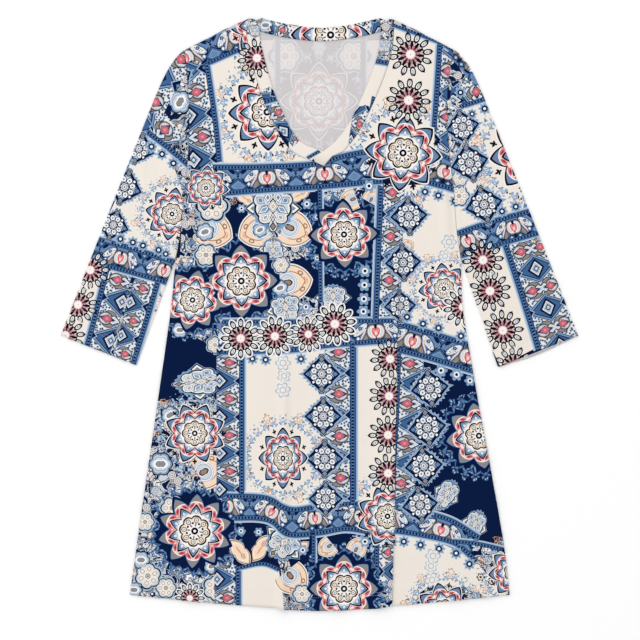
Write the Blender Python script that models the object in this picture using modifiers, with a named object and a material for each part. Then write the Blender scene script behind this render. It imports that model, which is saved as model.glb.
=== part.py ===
"""A long tunic top in printed jersey, laid flat on its back.

Sizes are in millimetres and become metres when a mesh is made. X runs across the garment,
Y runs up it towards the neck, and Z is up from the surface that it lies on. The origin is
below the middle of the garment.
"""

import math
from collections import namedtuple

import bmesh
import bpy
import numpy as np

MM = 0.001  # metres in a millimetre

# Cloth
WALL = 1.2  # jersey
BAND_WALL = 1.5  # the neckband is the same jersey folded double
SEAM_GAP = 0.3  # clearance between pieces that are sewn together
TURN_RADIUS = 0.9  # middle line of the cloth where it turns back on itself
TURN_STEPS = 4  # flats in each turn

# Body, as it lies
HEM_MIDDLE = -442.7  # height of the hem at the middle
HEM_RISE = 22.0  # how far the hem climbs to the side seams
HEM_BOW = 1.45  # power of that climb, 1 would be straight
HEM_HALF = 285.0  # half of the hem's width
HEM_DROP = 2.2  # the stretch between the two folds hangs this much lower
BACK_HEM_LIFT = 1.5  # the back hem stays hidden behind the front one
SHOULDER_BOW = 3.5  # rise of the shoulder line over its chord
UNDERARM = 82.0  # height where the side seams meet the sleeves
SHOULDER = 397.0  # height of the shoulder points
NECK_POINT = 444.8  # height where the shoulders meet the neckband
NOTCH_ROW = 215.0  # height, at the armholes, of the row through the tip of the V

Side = namedtuple("Side", "height left right")
BODY_SIDES = (  # side seams up to the underarm, then the armholes
    Side(-422, -284.5, 285.5),
    Side(-356, -275.5, 278.0),
    Side(-248, -260.0, 260.0),
    Side(-86, -236.5, 230.5),
    Side(22, -221.5, 214.0),
    Side(82, -215.5, 212.0),
    Side(124, -208.5, 206.0),
    Side(190, -201.5, 201.0),
    Side(245, -196.5, 194.5),
    Side(304, -195.5, 191.0),
    Side(344, -197.5, 192.5),
    Side(397, -201.5, 201.0),
)

# Neckband
BAND_WIDTH = 19.0
Point = namedtuple("Point", "x y")
NECK_EDGE_LEFT = (  # inner edge of the band, from the crossing to the shoulder
    Point(6.0, 245.0),
    Point(-24.0, 256.5),
    Point(-41.0, 275.0),
    Point(-57.0, 307.5),
    Point(-68.5, 335.0),
    Point(-83.0, 385.0),
    Point(-90.0, 422.0),
    Point(-86.2, 444.8),
)
NECK_EDGE_RIGHT = (
    Point(6.0, 245.0),
    Point(20.5, 256.5),
    Point(39.5, 279.5),
    Point(55.0, 307.5),
    Point(75.0, 353.5),
    Point(88.0, 392.0),
    Point(92.2, 424.0),
    Point(89.8, 444.8),
)
CROSSING = {  # corners of the square where the right band lies over the left one
    "top": Point(6.0, 245.0),
    "left": Point(-11.5, 231.0),
    "right": Point(19.0, 237.5),
    "bottom": Point(6.5, 222.9),
}
FIRST_BAND_STEP = 20.0  # from the crossing to the first square-cut row of a band
BACK_NECK_DROP = 14.3  # the back neck dips this far below the neck points
BACK_NECK_BOW = 1.7

# Sleeves, as they lie
Sleeve = namedtuple("Sleeve", "height out")
SLEEVE_TOP = (  # upper edge: distance from the middle line at each height
    Sleeve(397, 203.5),
    Sleeve(389, 212.0),
    Sleeve(381, 218.5),
    Sleeve(364, 229.5),
    Sleeve(328, 246.0),
    Sleeve(238, 282.0),
    Sleeve(112, 332.3),
    Sleeve(-31.5, 388.3),
)
CUFF_SEAM = {"left": Point(-275.0, -76.0), "right": Point(268.0, -79.0)}
ARMHOLE_ROOM = {"shoulder": 1.6, "underarm": 0.6}  # more clearance where the tube turns
CUFF_PEEK = 4.0  # the right cuff's lower layer shows past the upper one

# Lying fold: the cloth on its left laps over the cloth on its right
FOLD_EDGE_AT_HEM = 108.8  # distance of its edge from the middle at the hem
FOLD_LEAN = 0.0196  # and how that distance grows up the garment
RAMP = 26.0  # the upper layer comes down to the rest over this width
Fold = namedtuple("Fold", "height overlap")
LYING_FOLD = (
    Fold(-450, 16.5),
    Fold(-31, 16.5),
    Fold(14, 6.5),
    Fold(79, 3.7),
    Fold(134, 0.0),
    Fold(450, 0.0),
)
FOLD_OPENS = (100.0, 142.0)  # heights between which the fold flattens out to nothing

# Soft ridges that stand up from the cloth
Ridge = namedtuple("Ridge", "x1 y1 x2 y2 width rise1 rise2")
FRONT_RIDGES = (
    Ridge(-57, -460, -54, -190, 12, 7.0, 5.0),  # the flare's fold left of the middle
    Ridge(-54, -190, -53, 40, 12, 5.0, 0.0),
    Ridge(-186, 340, -193, 130, 13, 1.5, 3.0),  # slack beside the left armhole
    Ridge(182, 340, 190, 130, 13, 1.5, 3.0),  # slack beside the right armhole
    Ridge(-150, 150, -196, 60, 16, 0.5, 2.2),
    Ridge(150, 160, 192, 66, 16, 0.5, 2.2),
    Ridge(-190, -440, -160, -230, 30, 2.6, 0.3),  # waves of the flared hem
    Ridge(205, -440, 190, -220, 30, 2.2, 0.3),
    Ridge(30, -455, 24, -250, 26, 2.0, 0.2),
)
SLEEVE_RIDGES = {
    "left": (
        Ridge(-222, 330, -234, 120, 16, 2.6, 1.2),
        Ridge(-262, 190, -222, 110, 14, 0.6, 2.2),
        Ridge(-330, 20, -285, -60, 20, 0.6, 1.8),
    ),
    "right": (
        Ridge(216, 330, 230, 120, 16, 2.6, 1.2),
        Ridge(262, 190, 220, 105, 14, 0.6, 2.2),
        Ridge(330, 20, 282, -60, 20, 0.6, 1.8),
    ),
}

# Levels of the middle of each wall above the surface
LOWER_LEVEL = WALL / 2
FRONT_LEVEL = WALL + SEAM_GAP + WALL / 2
BAND_LEVEL = WALL + SEAM_GAP + BAND_WALL / 2
BAND_CROWN = 0.2  # the band is a little thicker along its middle
BAND_OVER_LEVEL = BAND_LEVEL + BAND_WALL + BAND_CROWN + SEAM_GAP
NECK_LIFT = 0.35  # the front bands clear the back one at the neck points
SLACK_RISE = 0.5  # the front stands this much off the back away from its seams

# Mesh
LEFT_COLUMNS = 8  # left seam to the soft ridge
RIDGE_STEPS = (-11.0, -6.5, -3.0, 0.0, 3.0, 6.5, 11.0)
MIDDLE_COLUMNS = 3  # soft ridge to the middle, and middle to the lying fold
RIGHT_COLUMNS = 8  # lying fold to the right seam
ROW_STEP = 30.0
FOLD_ROW_STEP = 7.0  # closer rows where the fold opens
NECK_ROWS = 12
BACK_ROWS = (6, 10)  # below and above the underarm
SLEEVE_RINGS = 19
SLEEVE_ACROSS = 9

# Colours
PRINT_BLUE = (0.115, 0.205, 0.37, 1.0)
PRINT_CREAM = (0.72, 0.66, 0.58, 1.0)
BAND_BLUE = (0.05, 0.10, 0.24, 1.0)
WRONG_SIDE = (0.56, 0.57, 0.62, 1.0)


def smooth_step(value):
    """0 below 0, 1 above 1, and a soft S between."""
    value = min(max(value, 0.0), 1.0)
    return value * value * (3 - 2 * value)


def read(rows, key, wanted, at):
    """The wanted column of a table at a value of its key column, on a smooth curve through the rows."""
    keys = [getattr(row, key) for row in rows]
    values = [getattr(row, wanted) for row in rows]
    if keys[0] > keys[-1]:
        keys.reverse()
        values.reverse()
    slopes = np.gradient(values, keys)
    at = min(max(at, keys[0]), keys[-1])
    index = min(int(np.searchsorted(keys, at, side="right")) - 1, len(keys) - 2)
    span = keys[index + 1] - keys[index]
    t = (at - keys[index]) / span
    return (
        (2 * t**3 - 3 * t**2 + 1) * values[index]
        + (t**3 - 2 * t**2 + t) * span * slopes[index]
        + (3 * t**2 - 2 * t**3) * values[index + 1]
        + (t**3 - t**2) * span * slopes[index + 1]
    )


def curve_through(points, steps=24):
    """A Catmull-Rom curve through the points, as a dense line."""
    points = np.array(points, dtype=float)
    ends = np.vstack([2 * points[0] - points[1], points, 2 * points[-1] - points[-2]])
    line = []
    for a, b, c, d in zip(ends, ends[1:], ends[2:], ends[3:]):
        for step in range(steps):
            t = step / steps
            line.append(
                0.5 * (2 * b + (c - a) * t + (2 * a - 5 * b + 4 * c - d) * t**2
                       + (3 * b - a - 3 * c + d) * t**3)
            )
    line.append(points[-1])
    return np.array(line)


def at_length(line, lengths):
    """Points and directions of a dense line at the given lengths from its start."""
    steps = np.linalg.norm(np.diff(line, axis=0), axis=1)
    total = np.concatenate([[0.0], np.cumsum(steps)])
    places = np.column_stack([np.interp(lengths, total, line[:, axis]) for axis in range(2)])
    ahead = np.column_stack(
        [np.interp(np.array(lengths) + 1, total, line[:, axis]) for axis in range(2)]
    )
    behind = np.column_stack(
        [np.interp(np.array(lengths) - 1, total, line[:, axis]) for axis in range(2)]
    )
    ways = ahead - behind
    return places, ways / np.linalg.norm(ways, axis=1)[:, None], total[-1]


def side_x(height, side, inset=0.0):
    """Where the body's left or right edge is, moved in by the inset."""
    x = read(BODY_SIDES, "height", side, height)
    return x + inset if side == "left" else x - inset


def hem_height(x):
    """Height of the front hem, with the stretch between the folds hanging a little lower."""
    bowed = HEM_MIDDLE + HEM_RISE * (abs(x) / HEM_HALF) ** HEM_BOW
    past_ridge = smooth_step((x + 66) / 20)
    before_fold = 1 - smooth_step((x - FOLD_EDGE_AT_HEM + 20) / 20)
    return bowed - HEM_DROP * past_ridge * before_fold


def shoulder_point(side):
    return np.array([read(BODY_SIDES, "height", side, SHOULDER), SHOULDER])


def ridge_rise(ridges, x, y):
    """How far the soft ridges lift the cloth at a place."""
    rise = 0.0
    for ridge in ridges:
        start = np.array([ridge.x1, ridge.y1])
        along = np.array([ridge.x2, ridge.y2]) - start
        length = np.linalg.norm(along)
        offset = np.array([x, y]) - start
        share = offset @ along / length**2
        away = abs(offset[0] * along[1] - offset[1] * along[0]) / length
        if away < ridge.width and -0.25 < share < 1.25:
            held = min(max(share, 0.0), 1.0)
            ends = smooth_step((share + 0.25) * 4) * smooth_step((1.25 - share) * 4)
            height = ridge.rise1 + (ridge.rise2 - ridge.rise1) * held
            rise = max(rise, height * ends * (0.5 + 0.5 * math.cos(math.pi * away / ridge.width)))
    return rise


def slack(x, y, left, right):
    """The front's lift off the back, nothing at its side edges."""
    inside = smooth_step(min(x - left, right - x) / 45)
    return SLACK_RISE * inside * (1 + 0.5 * math.sin(x / 61 + y / 97))


def band_rows(side):
    """Inner and outer points of each row of a front band, from its end in the crossing to the shoulder."""
    edge = NECK_EDGE_LEFT if side == "left" else NECK_EDGE_RIGHT
    other = "right" if side == "left" else "left"
    out_sign = -1 if side == "left" else 1
    line = curve_through(edge)
    length = at_length(line, [0.0])[2]
    stops = np.linspace(FIRST_BAND_STEP, length, NECK_ROWS - 1)
    places, ways, _ = at_length(line, stops)
    rows = [
        (np.array(CROSSING[other]), np.array(CROSSING["bottom"])),
        (np.array(CROSSING["top"]), np.array(CROSSING[side])),
    ]
    for place, way in zip(places, ways):
        outward = np.array([way[1], -way[0]]) * out_sign
        if outward[0] * out_sign < 0:
            outward = -outward
        rows.append((place, place + outward * BAND_WIDTH))
    along_shoulder = shoulder_point(side) - places[-1]
    along_shoulder /= np.linalg.norm(along_shoulder)
    rows[-1] = (places[-1], places[-1] + along_shoulder * BAND_WIDTH)
    return rows


def outwards(inner, outer, distance=SEAM_GAP + 0.1):
    """A point past the outer one, on the line from the inner one."""
    way = outer - inner
    return outer + way / np.linalg.norm(way) * distance


def neck_edge_of_front(side):
    """The front's edge along a band: the band's outer points, moved out by the seam gap."""
    rows = band_rows(side)
    points = [outwards(inner, outer) for inner, outer in rows]
    points[0] = np.array(CROSSING["bottom"]) + np.array([0.0, -1.4 * SEAM_GAP])
    return points


def fold_section(edge, height, level):
    """The lying fold's cross-section at a height: (x, z) from the foot of its ramp, over its edge,
    back under it and out again along the lower layer."""
    opens, shut = FOLD_OPENS
    turn = math.pi * (1 - smooth_step((height - opens) / (shut - opens)))
    overlap = read_straight(LYING_FOLD, height) * smooth_step((turn - math.pi / 2) / (math.pi / 2))
    rise = 2 * TURN_RADIUS * (1 - math.cos(turn)) + overlap * math.sin(turn)
    start = edge - TURN_RADIUS - WALL / 2
    top = start - overlap - 3.0
    section = []
    for share in (0.0, 0.25, 0.5, 0.75, 1.0):
        section.append((top - RAMP * (1 - share), level + rise * smooth_step(share)))
    x, z = start, level + rise
    section.append((x, z))
    for step in range(1, TURN_STEPS + 1):
        angle = turn * step / TURN_STEPS
        section.append(turn_point(x, z, angle, turn, step))
    x, z = section[-1]
    x += overlap * math.cos(turn) + flat_rest(turn)
    z -= overlap * math.sin(turn)
    section.append((x, z))
    for step in range(1, TURN_STEPS + 1):
        angle = turn * step / TURN_STEPS
        section.append(turn_back_point(x, z, angle, turn, step))
    return section


def flat_rest(turn):
    """Width left between the two turns while they are still open, so that no two columns meet."""
    return 0.5 * (1 + math.cos(turn))


def turn_point(x, z, angle, turn, step):
    """A point on the turn over the fold's edge. An open turn is a flat stretch of the same length."""
    flat = (1 - turn / math.pi) * TURN_RADIUS * step / TURN_STEPS
    return x + TURN_RADIUS * math.sin(angle) + flat, z - TURN_RADIUS * (1 - math.cos(angle))


def turn_back_point(x, z, angle, turn, step):
    """A point on the lower turn, which brings the cloth back to its first direction."""
    flat = (1 - turn / math.pi) * TURN_RADIUS * step / TURN_STEPS
    return (
        x + TURN_RADIUS * (math.sin(angle - turn) + math.sin(turn)) + flat,
        z - TURN_RADIUS * (math.cos(angle - turn) - math.cos(turn)),
    )


def read_straight(rows, height):
    return float(np.interp(height, [row.height for row in rows], [row.overlap for row in rows]))


def ease(count, power=1.0):
    """Shares from 0 to 1, closer together near 0 for a power above 1."""
    return [(index / count) ** power for index in range(count + 1)]


def front_row(height):
    """One row of the front below the V: (x, z) of each column, from the left edge to the right one."""
    left = side_x(height, "left")
    right = side_x(height, "right")
    fold_edge = FOLD_EDGE_AT_HEM + FOLD_LEAN * (height - HEM_MIDDLE)
    level = FRONT_LEVEL + SLACK_RISE
    section = fold_section(fold_edge, height, level)
    ridge = np.interp(height, (-445, -300, -210, -23), (-57, -59, -55, -53.5))
    xs = [left + (ridge + RIDGE_STEPS[0] - left) * share for share in ease(LEFT_COLUMNS, 1.5)[:-1]]
    xs += [ridge + step for step in RIDGE_STEPS]
    notch_x = CROSSING["bottom"].x
    xs += list(np.linspace(xs[-1], notch_x, MIDDLE_COLUMNS + 1)[1:])
    xs += list(np.linspace(notch_x, section[0][0], MIDDLE_COLUMNS + 1)[1:-1])
    row = [(x, front_lift(x, height, left, right, level, section)) for x in xs]
    row += section
    rest = [right + (section[-1][0] - right) * share for share in ease(RIGHT_COLUMNS, 1.5)]
    rest.reverse()
    row += [(x, front_lift(x, height, left, right, level, section)) for x in rest[1:]]
    return row


def front_lift(x, y, left, right, level, section):
    """Height of the front's middle line at a place clear of the lying fold."""
    from_fold = max(section[0][0] - x, x - section[-1][0] - overhang(section), 0.0)
    free = smooth_step(from_fold / 22)
    loose = FRONT_LEVEL + slack(x, y, left, right) + ridge_rise(FRONT_RIDGES, x, y)
    at_edge = smooth_step(min(x - left, right - x) / 12)
    return level * (1 - free) + (FRONT_LEVEL * (1 - at_edge) + loose * at_edge) * free


def overhang(section):
    """How far the fold's edge reaches past the end of its section."""
    return max(x for x, _ in section) - section[-1][0]


def front_rows():
    """Heights of the front's rows below the V, closer where the fold opens."""
    start, shut = BODY_SIDES[0].height, FOLD_OPENS[1]
    low = np.linspace(start, FOLD_OPENS[0], round((FOLD_OPENS[0] - start) / ROW_STEP) + 1)
    open_rows = np.linspace(
        FOLD_OPENS[0], shut, round((shut - FOLD_OPENS[0]) / FOLD_ROW_STEP) + 1
    )
    high = np.linspace(shut, NOTCH_ROW, round((NOTCH_ROW - shut) / ROW_STEP) + 1)
    return list(low) + list(open_rows[1:]) + list(high[1:])


def front_points():
    """Rows of points below the V, and rows of points of the two halves above its tip."""
    heights = front_rows()
    start, stop = heights[0], heights[-1]
    notch = neck_edge_of_front("left")[0]
    body = []
    for height in heights:
        share = (height - start) / (stop - start)
        points = []
        row = front_row(height)
        left, right = row[0][0], row[-1][0]
        for x, z in row:
            hem = (hem_height(x) - BODY_SIDES[0].height) * (1 - share) ** 2
            half = x - left if x < notch[0] else right - x
            width = notch[0] - left if x < notch[0] else right - notch[0]
            tent = (notch[1] - NOTCH_ROW) * max(half, 0.0) / width * share**8
            points.append((x, height + hem + tent, z))
        body.append(points)
    split = LEFT_COLUMNS - 1 + len(RIDGE_STEPS) + MIDDLE_COLUMNS
    halves = {}
    for side, top_row in (("left", body[-1][: split + 1]), ("right", body[-1][split:])):
        halves[side] = upper_half(side, top_row)
    return body, halves


def upper_half(side, first_row):
    """Rows of points between an armhole and the band, from the tip of the V up to the shoulder."""
    neck = neck_edge_of_front(side)
    count = len(first_row) - 1
    ends = np.array([first_row[0][:2], first_row[-1][:2]])
    span = np.linalg.norm(ends[1] - ends[0])
    first = [np.linalg.norm(np.array(point[:2]) - ends[0]) / span for point in first_row]
    rows = [first_row]
    for index in range(1, NECK_ROWS + 1):
        share = index / NECK_ROWS
        height = NOTCH_ROW + (SHOULDER - NOTCH_ROW) * share
        arm = np.array([side_x(height, side), height])
        start, stop = (arm, neck[index]) if side == "left" else (neck[index], arm)
        points = []
        for column in range(count + 1):
            along = first[column] * (1 - share) + column / count * share
            place = start + (stop - start) * along
            bow = SHOULDER_BOW * math.sin(math.pi * along) * share**6
            place = place + np.array([0.0, bow])
            points.append((place[0], place[1], upper_lift(place, start, stop, along)))
        rows.append(points)
    return rows


def upper_lift(place, start, stop, along):
    """Height of the front's middle line beside the V."""
    width = np.linalg.norm(stop - start)
    inside = smooth_step(min(along, 1 - along) * width / 30)
    loose = SLACK_RISE * (1 + 0.5 * math.sin(place[0] / 61 + place[1] / 97))
    top = smooth_step((SHOULDER + 30 - place[1]) / 40)
    rise = ridge_rise(FRONT_RIDGES, place[0], place[1])
    return FRONT_LEVEL + inside * (loose + rise) * top


def grid_of(rows, bm=None):
    """A grid of faces whose vertices are moved to the given rows of points, in metres."""
    bm = bm or bmesh.new()
    columns = len(rows[0]) - 1
    made = bmesh.ops.create_grid(bm, x_segments=columns, y_segments=len(rows) - 1, size=0.5)
    for vertex in made["verts"]:
        column = round((vertex.co.x + 0.5) * columns)
        row = round((vertex.co.y + 0.5) * (len(rows) - 1))
        vertex.co = [value * MM for value in rows[row][column]]
    return bm


def finish_piece(name, bm, wall, colour, offset=0.0, even=True):
    """Welds a piece's sheet, gives it its wall and its material, and puts it in the garment."""
    bmesh.ops.remove_doubles(bm, verts=bm.verts[:], dist=0.00001)
    bmesh.ops.recalc_face_normals(bm, faces=bm.faces[:])
    if sum(face.normal.z * face.calc_area() for face in bm.faces) < 0 and offset:
        bmesh.ops.reverse_faces(bm, faces=bm.faces[:])
    mesh = bpy.data.meshes.new(name)
    bm.to_mesh(mesh)
    bm.free()
    piece = bpy.data.objects.new(name, mesh)
    garment.objects.link(piece)
    mesh.materials.append(cloth_material(name, colour))
    solid = piece.modifiers.new("Wall", "SOLIDIFY")
    solid.thickness = wall * MM
    solid.offset = offset
    solid.use_even_offset = even
    mesh.shade_smooth()
    mesh.set_sharp_from_angle(angle=math.radians(40))
    return piece


def cloth_material(name, colour):
    material = bpy.data.materials.new(name)
    material.use_nodes = True
    shader = material.node_tree.nodes["Principled BSDF"]
    shader.inputs["Base Color"].default_value = colour
    shader.inputs["Roughness"].default_value = 0.85
    shader.inputs["Metallic"].default_value = 0.0
    material.diffuse_color = colour
    return material


def make_front():
    body, halves = front_points()
    bm = grid_of(body)
    grid_of(halves["left"], bm)
    grid_of(halves["right"], bm)
    return finish_piece("front_panel", bm, WALL, PRINT_BLUE)


def back_neck_rows():
    """Upper and lower points of each row of the back band, from the left neck point to the right."""
    left = band_rows("left")[-1]
    right = band_rows("right")[-1]
    middle = (left[0][0] + right[0][0]) / 2
    half = (right[0][0] - left[0][0]) / 2
    shares = (-0.955, -0.86, -0.7, -0.5, -0.25, 0.0, 0.25, 0.5, 0.7, 0.86, 0.955)
    rows = [left]
    for share in shares:
        rise = BACK_NECK_DROP * abs(share) ** BACK_NECK_BOW
        slope = BACK_NECK_DROP * BACK_NECK_BOW * abs(share) ** (BACK_NECK_BOW - 1) / half
        upper = np.array([middle + half * share, NECK_POINT - BACK_NECK_DROP + rise])
        down = np.array([math.copysign(slope, share), -1.0])
        down /= np.linalg.norm(down)
        lower = upper + down * (BAND_WIDTH + 1)
        if abs(share) > 0.9:
            lower += np.array([math.copysign(4.0, share), 2.0])
        rows.append((upper, lower))
    rows.append(right)
    return rows


def make_back():
    """The back: a flat sheet between the hem, the sides, the shoulders and the back band."""
    neck = [outwards(upper, lower) for upper, lower in back_neck_rows()]
    left_top = shoulder_line(shoulder_point("left"), neck[0], 5)
    right_top = shoulder_line(neck[-1], shoulder_point("right"), 5)
    top = left_top[:-1] + neck + right_top[1:]
    start, stop = BODY_SIDES[0].height, SHOULDER
    heights = list(np.linspace(start, UNDERARM, BACK_ROWS[0] + 1))
    heights += list(np.linspace(UNDERARM, stop, BACK_ROWS[1] + 1)[1:])
    rows = []
    for height in heights:
        share = (height - start) / (stop - start)
        left = side_x(height, "left")
        right = side_x(height, "right")
        points = []
        for column, above in enumerate(top):
            along = column / (len(top) - 1)
            at_top = (above[0] - top[0][0]) / (top[-1][0] - top[0][0])
            spread = along * (1 - share) + at_top * share
            x = left + (right - left) * spread
            hem = HEM_MIDDLE + HEM_RISE * (abs(x) / HEM_HALF) ** HEM_BOW + BACK_HEM_LIFT - start
            y = height + hem * (1 - share) ** 2 + (above[1] - stop) * share**5
            points.append((x, y, 0.0))
        rows.append(points)
    return finish_piece("back_panel", grid_of(rows), WALL, WRONG_SIDE, offset=1.0)


def shoulder_line(start, stop, steps):
    """Points of a shoulder seam, bowed a little above its chord."""
    line = []
    for step in range(steps + 1):
        share = step / steps
        place = start + (stop - start) * share
        line.append(place + np.array([0.0, SHOULDER_BOW * math.sin(math.pi * share)]))
    return line


def make_front_band(side):
    """A front band along the V. The right one climbs over the left one in the crossing."""
    rows = []
    for index, (inner, outer) in enumerate(band_rows(side)):
        over = side == "right" and index < 2
        level = BAND_OVER_LEVEL if over else BAND_LEVEL
        level += NECK_LIFT * smooth_step((max(inner[1], outer[1]) - 395) / 20)
        middle = (inner + outer) / 2
        if side == "left":
            inner, outer = outer, inner
        rows.append([(*inner, level), (*middle, level + BAND_CROWN), (*outer, level)])
    return finish_piece(f"neckband_front_{side}", grid_of(rows), BAND_WALL, BAND_BLUE)


def make_back_band():
    rows = [[(*lower, 0.0), (*upper, 0.0)] for upper, lower in back_neck_rows()]
    return finish_piece("neckband_back", grid_of(rows), BAND_WALL, BAND_BLUE, offset=1.0)


def sleeve_frame(side):
    """The sleeve's four edges: armhole, cuff, upper fold and underarm seam, as functions of a share."""
    sign = -1 if side == "left" else 1

    def armhole(share):
        height = UNDERARM + (SHOULDER - UNDERARM) * (1 - share)
        room = ARMHOLE_ROOM["shoulder"] * near(share) + ARMHOLE_ROOM["underarm"] * near(1 - share)
        return np.array([side_x(height, side, -SEAM_GAP - 0.1 - room), height])

    upper_line = curve_through([(sign * row.out, row.height) for row in SLEEVE_TOP])
    upper_line[0] = armhole(0.0)
    length = at_length(upper_line, [0.0])[2]

    def upper(share):
        return at_length(upper_line, [share**1.15 * length])[0][0]

    def under(share):
        start = armhole(1.0)
        return start + (np.array(CUFF_SEAM[side]) - start) * share

    def cuff(share):
        start = upper(1.0)
        return start + (np.array(CUFF_SEAM[side]) - start) * share

    return armhole, cuff, upper, under


def near(share):
    """1 at a share of 0, falling to 0 within 12 mm along the armhole."""
    return 1 - smooth_step(share * (SHOULDER - UNDERARM) / 12)


def sleeve_place(frame, along, across):
    """A Coons patch over the sleeve: along runs to the cuff, across from its top to the underarm."""
    armhole, cuff, upper, under = frame
    ruled = (1 - along) * armhole(across) + along * cuff(across)
    sides = (1 - across) * upper(along) + across * under(along)
    corners = (
        (1 - along) * ((1 - across) * armhole(0) + across * armhole(1))
        + along * ((1 - across) * cuff(0) + across * cuff(1))
    )
    return ruled + sides - corners


def make_sleeve(side):
    """A flattened tube: its lower layer on the surface, a turn at each edge, its upper layer on top."""
    frame = sleeve_frame(side)
    radius = (FRONT_LEVEL + 0.1 - LOWER_LEVEL) / 2
    rings = []
    for index in range(SLEEVE_RINGS + 1):
        along = index / SLEEVE_RINGS
        width = np.linalg.norm(sleeve_place(frame, along, 1.0) - sleeve_place(frame, along, 0.0))
        ring = []
        for step in range(SLEEVE_ACROSS + 1):
            across = step / SLEEVE_ACROSS
            place = inset_place(frame, along, across, radius)
            held = smooth_step(min(across, 1 - across) * width / 18) * smooth_step(along * 12)
            held *= 0.35 + 0.65 * smooth_step((1 - along) * 10)
            slack_lift = 0.4 + 0.2 * math.sin(place[1] / 31)
            lift = (slack_lift + ridge_rise(SLEEVE_RIDGES[side], *place)) * held
            ring.append((*place, LOWER_LEVEL + 2 * radius + lift))
        ring += edge_turn(frame, along, 1.0, radius)
        for step in range(SLEEVE_ACROSS, -1, -3):
            across = step / SLEEVE_ACROSS
            place = inset_place(frame, along, across, radius)
            if side == "right" and index == SLEEVE_RINGS:
                way = place - sleeve_place(frame, along - 0.02, across)
                place = place + way / np.linalg.norm(way) * CUFF_PEEK * math.sin(math.pi * across)
            ring.append((*place, LOWER_LEVEL))
        ring += edge_turn(frame, along, 0.0, radius)
        ring.append(ring[0])
        rings.append(ring)
    colour = PRINT_BLUE if side == "left" else PRINT_CREAM
    return finish_piece(f"sleeve_{side}", grid_of(rings), WALL, colour, even=False)


def edge_outward(frame, along, across):
    """The level direction that points straight out of the sleeve at its upper or underarm edge."""
    edge = frame[2] if across < 0.5 else frame[3]
    way = edge(min(along + 0.01, 1.0)) - edge(max(along - 0.01, 0.0))
    outward = np.array([way[1], -way[0]]) / np.linalg.norm(way)
    inside = sleeve_place(frame, along, 0.5) - edge(along)
    return outward if outward @ inside < 0 else -outward


def inset_place(frame, along, across, radius):
    """A place on the sleeve. On its two edges it is moved in, to where the turn starts."""
    place = sleeve_place(frame, along, across)
    if across in (0.0, 1.0):
        place = place - edge_outward(frame, along, across) * (radius + WALL / 2)
    return place


def edge_turn(frame, along, across, radius):
    """The half turn between the two layers at an edge, without its two ends."""
    start = inset_place(frame, along, across, radius)
    outward = edge_outward(frame, along, across)
    points = []
    for step in range(1, TURN_STEPS):
        angle = math.pi * step / TURN_STEPS
        place = start + outward * radius * math.sin(angle)
        height = radius * (1 + math.cos(angle) * (1 if across > 0.5 else -1))
        points.append((*place, LOWER_LEVEL + height))
    return points


for old in list(bpy.data.objects):
    bpy.data.objects.remove(old, do_unlink=True)
garment = bpy.data.collections.new("tunic_top")
bpy.context.scene.collection.children.link(garment)

make_back()
make_back_band()
make_front()
make_front_band("left")
make_front_band("right")
make_sleeve("left")
make_sleeve("right")
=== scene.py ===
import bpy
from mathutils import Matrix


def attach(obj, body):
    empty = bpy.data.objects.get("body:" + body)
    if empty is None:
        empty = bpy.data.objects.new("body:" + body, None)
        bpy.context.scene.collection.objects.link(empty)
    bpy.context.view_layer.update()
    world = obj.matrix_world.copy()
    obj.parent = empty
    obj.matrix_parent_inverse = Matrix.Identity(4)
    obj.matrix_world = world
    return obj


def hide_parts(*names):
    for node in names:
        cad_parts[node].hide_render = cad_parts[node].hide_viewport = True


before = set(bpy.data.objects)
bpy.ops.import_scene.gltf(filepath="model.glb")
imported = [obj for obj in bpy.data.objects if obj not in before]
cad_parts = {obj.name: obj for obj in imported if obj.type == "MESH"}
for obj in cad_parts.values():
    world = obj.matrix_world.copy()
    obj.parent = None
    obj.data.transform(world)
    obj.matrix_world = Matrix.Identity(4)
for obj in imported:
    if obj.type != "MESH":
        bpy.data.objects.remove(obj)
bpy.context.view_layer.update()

import math
from collections import namedtuple

import bmesh
import bpy
import numpy as np
from mathutils import Vector
from mathutils.bvhtree import BVHTree

mm = 0.001  # metres in a millimetre
scene = bpy.context.scene


def addObject(name, data):
    made = bpy.data.objects.new(name, data)
    scene.collection.objects.link(made)
    return made


def linear(hexColour):
    channels = [int(hexColour[place:place + 2], 16) / 255 for place in (0, 2, 4)]
    return tuple(c / 12.92 if c <= 0.04045 else ((c + 0.055) / 1.055) ** 2.4 for c in channels) + (1.0,)


def openMaterial(name, values):
    material = bpy.data.materials.new(name)
    material.use_nodes = True
    shader = material.node_tree.nodes["Principled BSDF"]
    for label, value in values.items():
        shader.inputs[label].default_value = value
    return material, shader


studio = {
    "lens": 85.0,
    "sensor": 36.0,
    "cameraHeight": 2.27,  # above the floor, looking straight down
    "cameraX": 0.00075,
    "cameraY": -0.00825,
    "skyStrength": 0.86,
    "lampPower": 34.0,
    "lampSize": 3.2,
    "lampPlace": (-1.5, 1.7, 2.6),
    "seenTo": 50.0,  # from the camera
    "floorSide": 9.0,
    "floorDrop": 0.0004,  # so the floor doesn't touch the cloth's underside
}

cameraData = bpy.data.cameras.new("camera")
cameraData.lens = studio["lens"]
cameraData.sensor_width = studio["sensor"]
cameraData.clip_end = studio["seenTo"]
scene.camera = addObject("camera", cameraData)
scene.camera.location = (studio["cameraX"], studio["cameraY"], studio["cameraHeight"])

scene.view_settings.view_transform = "Standard"
world = bpy.data.worlds.new("paleStudio")
world.use_nodes = True
sky = world.node_tree.nodes["Background"]
sky.inputs["Color"].default_value = (1.0, 1.0, 1.0, 1.0)
sky.inputs["Strength"].default_value = studio["skyStrength"]
scene.world = world

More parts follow.
